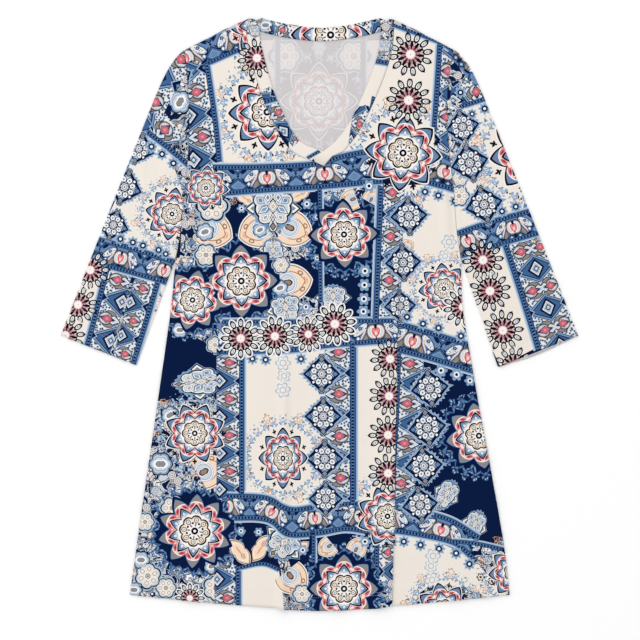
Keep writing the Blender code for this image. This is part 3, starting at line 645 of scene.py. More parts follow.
frontPrint = {
    "cream": [
        (0, [(206, 63), (232, 52), (262, 42), (310, 42), (330, 165), (318, 164), (219, 167)]),
        (0, [(322, 160), (334, 157), (366, 152), (436, 154), (434, 127), (440, 45), (392, 22),
             (374, 22), (330, 140)]),
        (0, [(380, 186), (440, 184), (462, 186), (462, 325), (472, 346), (396, 324), (376, 318)]),
        (1, [(242, 353), (300, 350), (322, 347), (353, 341), (353, 506), (315, 508), (290, 511),
             (266, 500), (242, 497)]),
        (1, [(353, 341), (400, 340), (397, 508), (353, 506)]),
        (1, [(239, 568), (262, 563), (279, 568), (285, 610), (239, 609)]),
        (2, [(388, 530), (420, 537), (450, 545), (462, 549), (475, 560), (500, 578), (516, 588),
             (512, 600), (388, 612)]),
    ],
    "busy": [
        # the first two areas lie along the armholes: their dark lacework is partly print and partly painted
        # shade of the gathered armhole creases
        (0, [(184, 160), (214, 166), (226, 190), (222, 225), (212, 262), (180, 262)]),
        (0, [(444, 60), (462, 60), (462, 184), (440, 180)]),
        (1, [(170, 258), (215, 258), (222, 318), (232, 345), (222, 350), (170, 325)]),
        (1, [(120, 395), (165, 402), (222, 398), (243, 490), (229, 520), (232, 556), (238, 568),
             (238, 612), (120, 612)]),
        (1, [(268, 530), (284, 545), (298, 592), (312, 590), (312, 612), (284, 612), (281, 568)]),
        (1, [(375, 540), (396, 545), (396, 612), (372, 612)]),
        (2, [(418, 594), (430, 585), (462, 586), (486, 596), (486, 612), (410, 612)]),
        (2, [(462, 549), (478, 545), (512, 552), (520, 600), (500, 590), (475, 560)]),
        (0, [(322, 190), (362, 186), (362, 212), (322, 226)]),
        (0, [(250, 206), (296, 206), (313, 232), (314, 254), (288, 262), (266, 258), (262, 244),
             (238, 246)]),
        (0, [(204, 262), (214, 296), (238, 312), (262, 312), (290, 292), (318, 300), (318, 320),
             (220, 320)]),
    ],
    "medallions": [
        (403, 153, 38.5, -6), (267, 112, 39, 2), (241.3, 281, 37, 1, 1), (344, 234.5, 34, 2, 1),
        (206, 188, 23, -4.5), (192.5, 300, 31, -12, 1), (444, 288.6, 26, 6), (194.8, 433.3, 31, 22.5, 0, 1),
        (194.8, 531, 38, 14, 2, 1), (283, 458, 31, 0, 3, 1), (387.4, 516, 31, 20, 0, 1),
        (344, 588.6, 35, 0, 1, 1), (479, 435.8, 34, 10, 1, 2), (515, 572, 27, 6, 0, 2), (262, 24, 33, 6),
        (444, 611, 29, 12, 0, 2),
    ],
    "palmettes": [
        (273, 209, 26), (273, 249, 14, 180), (286, 309, 19, 10), (198, 382, 29, -84, 1, 1), (333, 298, 17),
        (446, 495, 21, -32, 1, 2), (474, 526, 21, -24, 1, 2), (283, 543, 21, -45, 0, 1),
        (212, 206, 17, 0, 2), (160.6, 464, 13, 0, 3, 1), (148, 576, 14, 20, 2, 1), (166, 588, 11, 0, 2, 1),
        (206, 255, 12, 0, 2), (172, 508, 12, 0, 2, 1), (141, 560, 10, 0, 3, 1), (216, 588, 14, 30, 2, 1),
        (170, 415, 10, 30, 3, 1), (145, 522, 10, 0, 2, 1), (157, 492, 9, 60, 1, 1), (134, 590, 9, 0, 3, 1),
        (212, 566, 9, 20, 3, 1), (302, 594, 10, 0, 2, 1), (205, 232, 10, 20, 3), (180, 330, 9, 0, 3, 1),
        (215, 345, 9, 30, 2, 1), (260, 230, 8, 30, 3), (281, 265, 9, 0, 2), (280, 288, 9, 20, 3),
    ],
    "wings": [
        (291, 282.4, 23, 8), (293, 229, 22, -24), (258, 230, 22, 202), (212, 230, 23, -22),
        (207, 470, 22, 30, 0, 1), (292, 578, 20, -52, 0, 1), (351, 200, 13, 200), (372, 198, 11, 60),
        (357, 548, 12, 60, 0, 1), (328, 547, 12, 220, 0, 1), (406, 247, 10, 30), (383, 246, 10, 200),
    ],
    "leaves": [
        (245.5, 198.5, 13, -33), (299.5, 195, 13, 28), (300, 322, 14, -35), (240, 552, 17, -52, 0, 1),
        (261, 548, 17, 57, 0, 1), (300, 549, 12, 40, 0, 1), (230, 262, 10, 40),
    ],
    "strips": [
        ([(208, 180), (265, 178.5), (325, 174.5), (345, 171), (372, 167)], 13, (267, 178.5), 58),
        ([(430, 168), (462, 178)], 13.5, (446, 171), 58),
        ([(160, 70), (201, 52), (227, 41), (262, 26)], 14, (186, 59), 56),
        ([(190, 62), (199, 110), (205.5, 176)], 13.5, (197, 92), 45, -1),
        ([(446, 150), (448, 80), (450, 30)], 12, (449, 71), 46, -1),
        ([(388, 322), (391, 236), (393, 184)], 12, (392, 236.5), 44, -1),
        ([(218, 337), (318, 336), (366, 333), (398, 330)], 13.5, (376, 332.5), 58, 1, 1),
        ([(396, 336), (420, 344), (478, 360)], 14, (412.4, 341.5), 58, 1, 2),
        ([(229, 345), (229, 399), (229, 497)], 12.5, (228.5, 399), 36.2, -1, 1),
        ([(338, 342), (339, 436), (341, 510)], 13.5, (338.7, 436), 42, -1, 1),
        ([(399, 512), (405, 443), (411, 352)], 13.5, (406, 443.5), 40, -1, 2),
        ([(228, 507), (262, 508), (282, 519), (303, 520), (330, 517), (362, 517),
             (398, 522)], 12.5, (361, 518), 46, 1, 1),
        ([(392, 518), (440, 530), (475, 545)], 12.5, (441, 530), 56, 1, 2),
        ([(226, 566), (227, 612)], 12, (227, 598), 38, -1, 1),
        ([(388, 580), (388, 540)], 9, (388, 552), 38, -1, 1),
    ],
    "chains": [
        ([(206.5, 63), (215, 120), (219.5, 165)], 2.7), ([(206, 64), (232, 52.5), (250, 45)], 2.4, -1),
        ([(213, 167.5), (265, 167), (318, 164), (340, 157), (370, 151)], 2.7),
        ([(224, 193), (264, 190), (313, 187), (382, 181)], 2.7, -1), ([(424, 181), (456, 190)], 2.7, -1),
        ([(437, 153), (460, 164)], 2.4), ([(388, 22), (437, 40.5), (450, 48)], 2.5, -1),
        ([(440, 43), (437, 90), (434, 132)], 2.7, -1), ([(319.5, 188), (320.5, 238)], 2.2),
        ([(320, 260), (320.5, 302)], 2.2), ([(381, 186), (378.5, 250), (376, 320)], 3, -1),
        ([(222, 322), (290, 322), (350, 321), (396, 321)], 2.4, 1, 1),
        ([(222, 352), (290, 350), (330, 345), (396, 340)], 2.6, -1, 1),
        ([(394, 322.5), (430, 333), (476, 347.5)], 2.7, 1, 2),
        ([(396, 349), (430, 358), (476, 372)], 2.7, -1, 2), ([(241.7, 352), (241.7, 499)], 2.7, 1, 1),
        ([(352.8, 341), (352.8, 506)], 3.2, 1, 1),
        ([(398.7, 354), (396.6, 412), (393.4, 470), (393, 508)], 2.7, -1, 2),
        ([(228, 496), (266, 498), (290, 509.5), (315.5, 507), (341, 504.5), (365, 504.5),
             (400, 509)], 2.5, 1, 1),
        ([(236, 518), (258, 518), (273, 522), (290, 534.5), (321, 532.5), (347, 528.5), (377, 534),
             (400, 541)], 2.6, -1, 1),
        ([(388, 506), (420, 512), (450, 520), (478, 537)], 2.5, 1, 2),
        ([(388, 529.5), (420, 534.5), (450, 541), (462, 548), (476, 561)], 2.6, -1, 2),
        ([(450, 541), (478, 544), (512, 552)], 2.2, 1, 2), ([(238, 566), (238, 612)], 2.7, 1, 1),
        ([(238, 568), (262, 563.5), (279, 569)], 2, -1, 1), ([(313.5, 534), (313.5, 562)], 2, 1, 1),
        ([(376.7, 534), (376.7, 568)], 2.4, 1, 1), ([(262, 33), (252, 42)], 2.2),
    ],
    "lozenges": [
        (408.8, 216, 18.5, 4), (403, 262.5, 18, 4), (400, 306, 16, 4), (176, 80, 17, 30, 1),
        (321.6, 374, 18.5, 0, 0, 1), (323.2, 416.4, 18.5, 0, 0, 1), (324.7, 458.8, 18.5, 0, 0, 1),
        (325.7, 498.8, 17, 0, 0, 1), (429.8, 388.4, 19, 8, 0, 2), (427.2, 427.7, 19, 8, 0, 2),
        (423.7, 466, 19, 6, 0, 2), (420, 505, 18, 8, 0, 2),
    ],
    "florets": [
        (425, 191.8, 5.8), (438.4, 195.5, 5.8), (455, 201, 5.8), (407, 317, 5.8), (423, 323.8, 5.8),
        (438.5, 328, 5.8), (461, 336, 5.8), (252.4, 358.8, 5.6, 0, 0, 1), (265.7, 359.8, 5.6, 0, 0, 1),
        (301, 359, 5.6, 0, 0, 1), (392, 541.6, 5.6, 0, 0, 2), (403.8, 541.6, 5.6, 0, 0, 2),
        (420.5, 545, 5.8, 0, 0, 2), (439, 548.7, 5.8, 0, 0, 2), (456, 553, 5.8, 0, 0, 2),
        (469.4, 564, 5.8, 0, 0, 2), (369, 186, 7, 0, 1), (365, 271, 7, 0, 1), (364.4, 285, 7, 0, 1),
        (363.9, 299, 7, 0, 1), (363.4, 311.5, 7, 0, 1), (441, 370.5, 7, 0, 1, 2),
        (456.6, 374.6, 7, 0, 1, 2), (470, 380.7, 6, 0, 1, 2), (241, 531, 5, 0, 1, 1),
        (258.6, 532, 5, 0, 1, 1), (365, 541.6, 6.5, 0, 1, 1), (302.8, 550, 6, 0, 1, 1),
        (306.8, 204, 6, 0, 1), (241.5, 208.5, 5, 0, 1), (306, 307, 6, 0, 1), (317, 217, 4.5, 0, 1),
        (317, 258, 4.5, 0, 1), (283, 363, 8, 0, 2, 1), (284, 376, 7, 20, 2, 1), (283, 390, 8, 10, 2, 1),
        (433, 556, 8, 0, 2, 2), (431, 566, 7, 20, 2, 2), (432, 580, 8, 10, 2, 2), (449, 242, 8, 0, 2),
        (445, 256, 7, 15, 2), (480.6, 577, 5, 0, 3, 2), (491.8, 581, 5, 20, 3, 2),
    ],
    "daisies": [
        (410.6, 54.4, 22.5, 8), (408.6, 100.3, 22.5, -4), (240.7, 338.4, 20, 0, 1),
        (274.9, 336.3, 20, 12, 1), (308.4, 334.3, 18, 5, 1), (334.9, 324, 21, 8, 1),
        (390, 358.8, 20, 5, 0, 1), (389, 396, 20, 12, 0, 1), (388, 434.8, 20, 2, 0, 1),
        (388, 473, 20, 10, 0, 1), (463, 307, 20, 10, 1), (257, 58, 20, 10), (190, 598, 15, 0, 1, 1),
    ],
}
sleeveLeftPrint = {
    "cream": [
        (0, [(152, 125), (196, 168), (196, 214), (180, 264), (98, 239), (120, 190), (135, 150)]),
        (0, [(99, 266), (107, 268), (84, 356), (56, 350), (60, 300)]),
        (0, [(158, 282), (180, 284), (147, 376), (131, 368)]),
    ],
    "busy": [
        # this area lies along the armhole: its dark lacework is partly print and partly painted shade of the
        # gathered armhole creases
        (0, [(176, 60), (196, 60), (196, 262), (178, 262), (182, 190), (168, 150)]),
        (0, [(118, 284), (158, 282), (137, 374), (84, 354)]),
    ],
    "medallions": [(172, 214, 27, -9)],
    "palmettes": [(180, 102, 13, 60, 3), (152, 300, 12, 0, 2), (122, 345, 10, 0, 2)],
    "strips": [
        ([(202, 42), (178, 62), (150, 112), (142, 132)], 13, (184, 62), 50, -1),
        ([(150, 112), (168, 134), (176, 141)], 11, (165, 130), 52, -1),
        ([(92, 250), (120, 258.5), (150, 267), (180, 276)], 12.5, (120.4, 258.8), 45),
        ([(95, 360), (110, 310), (121, 268)], 12.5, (117.5, 280), 40, -1),
        ([(146, 278), (136, 310), (121, 368)], 10.5, (142.9, 288.4), 34, -1),
    ],
    "chains": [
        ([(146, 131), (166, 146), (192, 168)], 2.6, -1), ([(94, 238.5), (130, 248), (180, 264)], 2.6),
        ([(96, 263), (130, 272), (176, 285)], 2.4, -1), ([(107.5, 267), (98, 306), (84, 358)], 2.8, -1),
        ([(158, 281), (147, 318), (131, 370)], 2.8),
    ],
    "lozenges": [(124.5, 187, 18, -18), (113.3, 225, 16, -18), (138.8, 148.6, 16, -18)],
    "florets": [
        (151.5, 146.7, 5.8), (162.2, 154.2, 5.8), (173.5, 163.4, 5.8), (120.4, 239, 5.6),
        (132.9, 242.4, 5.6), (143, 245.5, 5.6), (158.7, 250, 5.6), (165.8, 254, 5.2), (128, 160, 5),
    ],
    "daisies": [(90.3, 270, 20), (78, 304.7, 20, 8), (65.3, 335.3, 20, 3)],
}
sleeveRightPrint = {
    "cream": [
        (0, [(446, 110), (486, 98), (520, 92), (550, 160), (540, 212), (442, 241), (444, 160)]),
        (0, [(456, 256), (506, 244), (540, 346), (500, 366), (470, 300)]),
    ],
    "busy": [
        # this area lies along the armhole: its dark lacework is partly print and partly painted shade of the
        # gathered armhole creases
        (0, [(444, 60), (462, 100), (462, 200), (444, 200)]),
        (0, [(516, 244), (545, 232), (582, 336), (548, 350)]),
        (0, [(446, 46), (470, 52), (494, 86), (474, 100), (446, 100)]),
    ],
    "medallions": [(530, 152, 41, 10)],
    "palmettes": [(459, 196, 11, 0, 2), (460, 178, 9, 0, 2), (554, 270, 11, 0, 2)],
    "strips": [
        ([(452, 92), (476, 92), (500, 84)], 11, (476, 91), 46, -1),
        ([(446, 248.5), (490, 234.5), (542, 220)], 12.5, (514, 228.5), 47.5),
        ([(552, 350), (533, 291), (518, 240)], 12.5, (533, 291), 41, -1),
        ([(538, 240), (550, 285), (570, 345)], 11, (550, 285.5), 40, -1),
        ([(440, 26), (470, 60), (490, 92)], 13, (462, 58), 50),
    ],
    "chains": [
        ([(460, 107), (490, 97)], 2.3, -1), ([(448, 237), (490, 222.5), (538, 209)], 2.6),
        ([(448, 260), (490, 247), (542, 232)], 2.4, -1), ([(505, 243), (521, 292), (539, 350)], 3, -1),
    ],
    "lozenges": [(462.4, 127, 17, 12), (469.6, 163, 19, 14), (483.9, 204.7, 19, 14)],
    "florets": [
        (460.4, 92.7, 5.4), (484.6, 108.6, 5.8), (472, 114, 5), (502, 211.3, 5.6), (515.8, 206.7, 5.6),
    ],
    "daisies": [(482.9, 260, 21, 5), (490, 291, 21, 12), (502.8, 330.4, 21, 4), (514, 366, 20, 8)],
}
bandPrints = {
    "neckband_front_left": {
        "cream": [
            (0, [(244, 34), (272, 34), (285, 97), (255, 100)]),
            (0, [(288, 132), (330, 130), (340, 180), (290, 160)]),
        ],
        "busy": [
            (0, [(252, 99), (300, 99), (300, 133), (262, 133)]),
            (0, [(244, 12), (266, 12), (266, 30), (244, 34)]),
        ],
        "palmettes": [(281, 118, 12, 30, 2), (255, 31, 8)],
        "strips": [([(262, 92), (300, 140)], 10, (279, 112), 36, -1)],
        "chains": [([(256, 104), (282, 97)], 2.4, -1), ([(308, 158), (320, 151)], 1.6)],
        "florets": [(292, 125, 4.5, 0, 1)],
        "daisies": [(257, 58, 20, 10)],
    },
    "neckband_front_right": {
        "cream": [
            (0, [(360, 64), (392, 60), (392, 108), (360, 104)]),
            (0, [(300, 120), (372, 98), (366, 150), (320, 176)]),
        ],
        "busy": [(0, [(372, 20), (396, 20), (396, 60), (372, 60)])],
        "palmettes": [(384, 46, 9)],
        "strips": [([(362, 106), (356, 145)], 8, (359, 124), 36, -1)],
        "chains": [([(370, 60), (394, 64)], 2.4, -1), ([(374, 97), (370, 118), (366.5, 142)], 2.4)],
    },
    "neckband_back": {
        "cream": [(0, [(286, 24), (306, 28), (306, 48), (286, 46)])],
        "busy": [
            (0, [(250, 14), (276, 16), (276, 44), (250, 40)]),
            (0, [(355, 20), (385, 14), (385, 42), (355, 44)]),
        ],
        "medallions": [(330.6, 34.7, 40)],
        "palmettes": [(265.5, 25, 9, 0, 3), (384, 24, 8, 0, 2)],
        "wings": [(293, 32, 7, 180)],
        "strips": [
            ([(272, 24), (300, 40)], 8, (300, 60), 30, -1), ([(352, 38), (384, 22)], 8, (362, 33), 34, -1),
        ],
    },
}
entryKinds = {**{name: Mark for name in markReach}, "strips": Strip, "chains": Chain}
for sheet in (frontPrint, sleeveLeftPrint, sleeveRightPrint, *bandPrints.values()):
    for name, kind in entryKinds.items():
        sheet[name] = [kind(*entry) for entry in sheet.get(name, ())]


def mirrored(sheet, above):
    # the hidden side carries the same print turned over, up to the place where it has its own
    wide = 2 * chart["middleAcross"]
    turned = {name: [(0, [(wide - x, y) for x, y in corners]) for _, corners in sheet[name]]
              for name in ("cream", "busy")}
    for name in markReach:
        turned[name] = [mark._replace(across=wide - mark.across, turn=-mark.turn, zone=0)
                        for mark in sheet[name] if mark.down > above]
    for name in ("strips", "chains"):
        turned[name] = [entry._replace(line=[(wide - x, y) for x, y in entry.line], zone=0)
                        for entry in sheet[name] if entry.line[0][1] > above]
    turned["strips"] = [strip._replace(at=(wide - strip.at[0], strip.at[1])) for strip in turned["strips"]]
    return turned


backPrint = mirrored(frontPrint, 120)
backPrint["cream"] = backPrint["cream"][2:] + [(0, [(240, 40), (276, 40), (276, 150), (240, 150)]),
                                              (0, [(365, 40), (398, 40), (398, 150), (365, 150)])]
backPrint["medallions"] = [Mark(319, 101, 38, 0)] + backPrint["medallions"]
backPrint["palmettes"] += [Mark(285, 56, 17, 0, 2), Mark(354, 56, 17, 0, 2), Mark(319, 48, 12, 0, 1)]
backPrint["chains"] += [Chain([(278, 40), (278, 92)], 2.4, -1), Chain([(363, 40), (363, 92)], 2.4, 1)]


def polygonInside(x, y, corners):
    # distance to the area's edge, positive inside it
    inside = np.zeros(len(x), dtype=bool)
    away = np.full(len(x), 1e9)
    for (x1, y1), (x2, y2) in zip(corners, corners[1:] + corners[:1]):
        crosses = (y1 > y) != (y2 > y)
        with np.errstate(divide="ignore", invalid="ignore"):
            inside ^= crosses & (x < (x2 - x1) * (y - y1) / (y2 - y1) + x1)
        length = (x2 - x1) ** 2 + (y2 - y1) ** 2
        share = np.clip(((x - x1) * (x2 - x1) + (y - y1) * (y2 - y1)) / length, 0, 1)
        away = np.minimum(away, np.hypot(x - x1 - share * (x2 - x1), y - y1 - share * (y2 - y1)))
    return np.where(inside, away, -away)


def alongLine(x, y, line):
    # distance along the line, distance to its left side, and how far past its ends a place is
    line = curveThrough(line, 6)
    starts, ways = line[:-1], np.diff(line, axis=0)
    lengths = np.linalg.norm(ways, axis=1)
    before = np.concatenate([[0.0], np.cumsum(lengths)])
    share = ((x[:, None] - starts[:, 0]) * ways[:, 0] + (y[:, None] - starts[:, 1]) * ways[:, 1]) / lengths**2
    low = np.where(np.arange(len(lengths)) == 0, -1e9, 0.0)
    high = np.where(np.arange(len(lengths)) == len(lengths) - 1, 1e9, 1.0)
    share = np.clip(share, low, high)
    gapX = x[:, None] - starts[:, 0] - share * ways[:, 0]
    gapY = y[:, None] - starts[:, 1] - share * ways[:, 1]
    nearest = np.argmin(gapX**2 + gapY**2, axis=1)
    row = np.arange(len(x))
    share, gapX, gapY = share[row, nearest], gapX[row, nearest], gapY[row, nearest]
    way = ways[nearest] / lengths[nearest][:, None]
    along = before[nearest] + share * lengths[nearest]
    left = gapX * way[:, 1] - gapY * way[:, 0]
    past = np.maximum(np.maximum(-along, along - before[-1]), 0.0)
    return along, left, past


def nearestEntries(centres, zones, entries, distance):
    # for each face the entry that it lies nearest to, or -1 where none reaches it
    best, closest = np.full(len(centres), -1), np.full(len(centres), 1e9)
    for index, entry in enumerate(entries):
        away, reached = distance(entry)
        fits = ((entry.zone == 0) | (zones == 0) | (zones == entry.zone)) & reached & (away < closest)
        best[fits], closest[fits] = index, away[fits]
    return best


def printCoordinates(places, faces, centres, zones, sheet):
    # one vector for each kind of ornament at each corner of each face
    x, y = places
    nowhere, margin = chart["nowhere"], chart["faceMargin"]
    ground = np.full((len(x), 3), chart["farOutside"])
    for column, name in enumerate(("cream", "busy")):
        for zone, corners in sheet[name]:
            fits = (zone == 0) | (zones[faces] == 0) | (zones[faces] == zone)
            depth = np.where(fits, polygonInside(x, y, corners), chart["farOutside"])
            ground[:, column] = np.maximum(ground[:, column], depth)
    layers = {"ground": ground}

    for name, reach in markReach.items():
        def markDistance(mark):
            away = np.hypot(centres[:, 0] - mark.across, centres[:, 1] - mark.down)
            return away / mark.size, away < reach * mark.size + margin

        best = nearestEntries(centres, zones, sheet[name], markDistance)
        layers[name] = np.tile([nowhere, nowhere, 0.0], (len(x), 1))
        for index, mark in enumerate(sheet[name]):
            here = best[faces] == index
            across, up = (x[here] - mark.across) / mark.size, (mark.down - y[here]) / mark.size
            cosine, sine = math.cos(math.radians(mark.turn)), math.sin(math.radians(mark.turn))
            layers[name][here] = np.column_stack([
                across * cosine + up * sine, up * cosine - across * sine, np.full(here.sum(), mark.look)
            ])

    def lineDistance(entry):
        _, left, past = alongLine(centres[:, 0], centres[:, 1], entry.line)
        reached = (np.abs(left) < entry.half + margin + 1) & (past < margin)
        return np.abs(left) / entry.half + past, reached

    for name in ("strips", "chains"):
        best = nearestEntries(centres, zones, sheet[name], lineDistance)
        layers[name] = np.tile([nowhere, 10 * nowhere, 0.0], (len(x), 1))
        for index, entry in enumerate(sheet[name]):
            here = best[faces] == index
            if not here.any():
                continue
            along, left, past = alongLine(x[here], y[here], entry.line)
            held = np.clip(1 - past, 0, 1)
            if name == "chains":
                drawnLeft = left * drawnChain / entry.half
                layers[name][here] = np.column_stack([along, drawnLeft, held * entry.fadeSide])
                continue
            first = alongLine(np.array([entry.at[0]]), np.array([entry.at[1]]), entry.line)[0][0]
            drawn = drawnStrips["hearts" if entry.kind > 0 else "eyes"]
            layers[name][here] = np.column_stack([
                (along - first) * drawn["period"] / entry.period,
                left * drawn["half"] / entry.half,
                held * entry.kind,
            ])
    return layers


def readAll(collection, name, kind, width=1):
    values = np.empty(len(collection) * width, dtype=kind)
    collection.foreach_get(name, values)
    return values


def layPrint(flat, sheet):
    corners = readAll(flat.loops, "vertex_index", int)
    points = readAll(flat.vertices, "co", float, 3).reshape(-1, 3) / mm
    x, y = points[corners, 0], points[corners, 1]
    totals = readAll(flat.polygons, "loop_total", int)
    faces = np.repeat(np.arange(len(totals)), totals)
    centres = [np.bincount(faces, axis) / totals for axis in (x, y)]
    foldEdge = foldEdgeAt(centres[1]) + 0.1
    zones = np.where(centres[1] > chart["foldEnds"], 0, np.where(centres[0] < foldEdge, 1, 2))

    def charted(across, up):
        return across / chart["step"] + chart["middleAcross"], chart["middleDown"] - up / chart["step"]

    middles = np.column_stack(charted(*centres))
    for name, values in printCoordinates(charted(x, y), faces, middles, zones, sheet).items():
        attribute = flat.attributes.new(name, "FLOAT_VECTOR", "CORNER")
        attribute.data.foreach_set("vector", values.astype(np.float32).ravel())


# Colours of the print's inks and of the cloth under them
inks = {
    "cream": "EFE7DD", "white": "F6F4F1", "navy": "03173F", "black": "0A0C17", "blue": "6686AE",
    "chainBlue": "3F6391", "chainEdge": "183460", "paleBlue": "A6BCD4", "petalBlue": "82A2C4",
    "iceBlue": "CBD5E0", "coral": "E3908B", "blush": "F5D2CB", "rose": "CE6371", "wine": "8F2839",
    "burgundy": "4E1229", "plum": "A9697F", "taupe": "8F8780", "peach": "F6D9BE", "brown": "93705A",
    "sand": "D9A37C", "smoke": "8E9AAE", "wrongSide": "E3DEDE",
}
ink = {name: linear(value) for name, value in inks.items()}
nodeKinds = {"ShaderNodeTree": "ShaderNode", "GeometryNodeTree": "GeometryNode"}


def add(tree, kind, links=(), stops=None, **settings):
    # a kind in capitals is what a maths node does, and a node tree stands for a group that holds it;
    # links are sockets or plain values, in the order of the node's inputs or by their numbers
    if isinstance(kind, bpy.types.NodeTree):
        kind, settings["node_tree"] = "Group", kind
    elif kind.isupper():
        kind, settings["operation"] = "Math", kind
    node = tree.nodes.new(kind if "Node" in kind else nodeKinds[tree.bl_idname] + kind)
    for name, value in settings.items():
        setattr(node, name, value)
    for index, value in links.items() if isinstance(links, dict) else enumerate(links):
        if isinstance(value, bpy.types.NodeSocket):
            tree.links.new(value, node.inputs[index])
        elif value is not None:
            node.inputs[index].default_value = value
    if stops:
        ramp = node.color_ramp
        ramp.interpolation = "CONSTANT"
        while len(ramp.elements) < len(stops):
            ramp.elements.new(1.0)
        for element, (start, name) in zip(ramp.elements, stops):
            element.position = start
            element.color = ink[name] if name else (0.0, 0.0, 0.0, 0.0)
    return node.outputs


def layInk(tree, under, distance, bands, within=None, squared=False):
    # bands are inks with, between them, the share of the way from a mark's middle to its edge, which is 1,
    # where the next one starts; a dash, or an end without an ink, leaves what is under
    words = bands.split()
    names = [None if name == "-" else name for name in words[::2]] + [None] * (len(words) % 2 == 0)
    bands = list(zip([0.0] + [float(start) for start in words[1::2]], names))
    power = 2 if squared else 1
    if len(bands) == 2 and not bands[1][1]:
        share = add(tree, "LESS_THAN", [distance, bands[1][0] ** power])[0]
        colour = ink[bands[0][1]]
    else:
        scaled = add(tree, "MULTIPLY", [distance, 0.8 ** power])[0]
        stops = [((begin * 0.8) ** power, name) for begin, name in bands]
        colour, share = add(tree, "ValToRGB", [scaled], stops=stops)
    if within is not None:
        share = add(tree, "MULTIPLY", [share, within])[0]
    return add(tree, "Mix", {0: share, 6: under, 7: colour}, data_type="RGBA")[2]


def away(tree, place, shape, diamond=False):
    # how far a place is from a shape's middle, with the edge at 1: squared for an oval, not for a diamond
    x, y, halfLength, halfWidth, degrees = shape
    cosine, sine = math.cos(math.radians(degrees)), math.sin(math.radians(degrees))
    parts = []
    for wayX, wayY, reach in ((cosine, sine, halfLength), (-sine, cosine, halfWidth)):
        part = -(wayX * x + wayY * y) / reach
        for axis, way in zip(place, (wayX, wayY)):
            if abs(way) > 0.0001:
                part = add(tree, "MULTIPLY_ADD", [axis, way / reach, part])[0]
        parts.append(part)
    if diamond:
        parts = [add(tree, "ABSOLUTE", [part])[0] for part in parts]
        return add(tree, "ADD", parts)[0]
    first = add(tree, "MULTIPLY", [parts[0], parts[0]])[0]
    return add(tree, "MULTIPLY_ADD", [parts[1], parts[1], first])[0]


def layMarks(tree, colour, place, marks, within=None):
    # each mark is its middle, half its length and width, its turn in degrees and its bands: an oval, or a
    # diamond where the bands start with <>
    for *shape, bands in marks:
        diamond = bands.startswith("<> ")
        distance = away(tree, place, shape, diamond)
        colour = layInk(tree, colour, distance, bands.removeprefix("<> "), within, not diamond)
    return colour


def joined(tree, place, shapes):
    # squared distance to the nearest of several ovals, for one outline round them all
    nearest = None
    for shape in shapes:
        distance = away(tree, place, shape)
        if nearest:
            distance = add(tree, "MINIMUM", [nearest, distance])[0]
        nearest = distance
    return nearest


def openGroup(name, inputs, outputs, use="ShaderNodeTree"):
    tree = bpy.data.node_groups.new(name, use)
    for way, sockets in (("INPUT", inputs), ("OUTPUT", outputs)):
        for label, kind in sockets:
            tree.interface.new_socket(label, in_out=way, socket_type="NodeSocket" + kind)
    return tree, add(tree, "NodeGroupInput")


def makeMotif(name, draw):
    # numbers and colours only: a vector link in here makes Cycles keep the whole print in hand at once
    tree, start = openGroup(name, [("Place", "Color"), ("Under", "Color")], [("Printed", "Color")])
    x, y, look = add(tree, "SeparateColor", [start[0]])
    add(tree, "NodeGroupOutput", [draw(tree, x, y, look, start[1])])
    return tree


def polar(tree, start):
    # radius, and how many petals round from the middle of the first
    x, y, petals, turn = start[:4]
    square = add(tree, "MULTIPLY", [x, x])[0]
    square = add(tree, "MULTIPLY_ADD", [y, y, square])[0]
    radius = add(tree, "SQRT", [square])[0]
    angle = add(tree, "ARCTAN2", [y, x])[0]
    angle = add(tree, "MULTIPLY", [angle, 0.5 / math.pi])[0]
    turned = add(tree, "MULTIPLY_ADD", [angle, petals, turn])[0]
    return radius, add(tree, "PINGPONG", [turned, 0.5])[0]


def repeated(tree, along, period):
    # how far a place is from the middle of the nearest repeat
    share = add(tree, "MULTIPLY", [along, 1 / period])[0]
    share = add(tree, "PINGPONG", [share, 0.5])[0]
    return add(tree, "MULTIPLY", [share, period])[0]


def perMetre(size):
    return 1 / (size * mm)


# mm across one cell of each of the print's small patterns
grain = {"shiver": 8.3333, "dots": 4.3478, "petals": 9.5238, "flowers": 20, "swirls": 18.1818}
chainBead = 3.2  # steps of the chart from bead to bead

polarSockets = [("X", "Float"), ("Y", "Float"), ("Petals", "Float"), ("Turn", "Float")]


def makePetalRim():
    # distance from the middle as a share of a many-petalled outline
    tree, start = openGroup("petalRim", polarSockets + [("Notch", "Float"), ("Round", "Float")],
                            [("Distance", "Float")])
    radius, wave = polar(tree, start)
    double = add(tree, "MULTIPLY", [wave, 2])[0]
    shaped = add(tree, "POWER", [double, start[5]])[0]
    depth = add(tree, "SUBTRACT", [start[4], 1])[0]
    rim = add(tree, "MULTIPLY_ADD", [shaped, depth, 1])[0]
    share = add(tree, "DIVIDE", [radius, rim])[0]
    add(tree, "NodeGroupOutput", [share])
    return tree


def makeFanFold():
    # folds a round ornament onto half of one petal: x along its axis, y away from it
    tree, start = openGroup("fanFold", polarSockets, [("X", "Float"), ("Y", "Float")])
    radius, wave = polar(tree, start)
    opened = add(tree, "MULTIPLY", [wave, 2 * math.pi])[0]
    folded = add(tree, "DIVIDE", [opened, start[2]])[0]
    cosine = add(tree, "COSINE", [folded])[0]
    sine = add(tree, "SINE", [folded])[0]
    x = add(tree, "MULTIPLY", [radius, cosine])[0]
    y = add(tree, "MULTIPLY", [radius, sine])[0]
    add(tree, "NodeGroupOutput", [x, y])
    return tree


petalRim = makePetalRim()
fanFold = makeFanFold()


def looksOfMedallion(tree, look):
    taupeLook = add(tree, "COMPARE", [look, 1.5, 0.75])[0]
    return taupeLook, add(tree, "SUBTRACT", [1, taupeLook])[0]


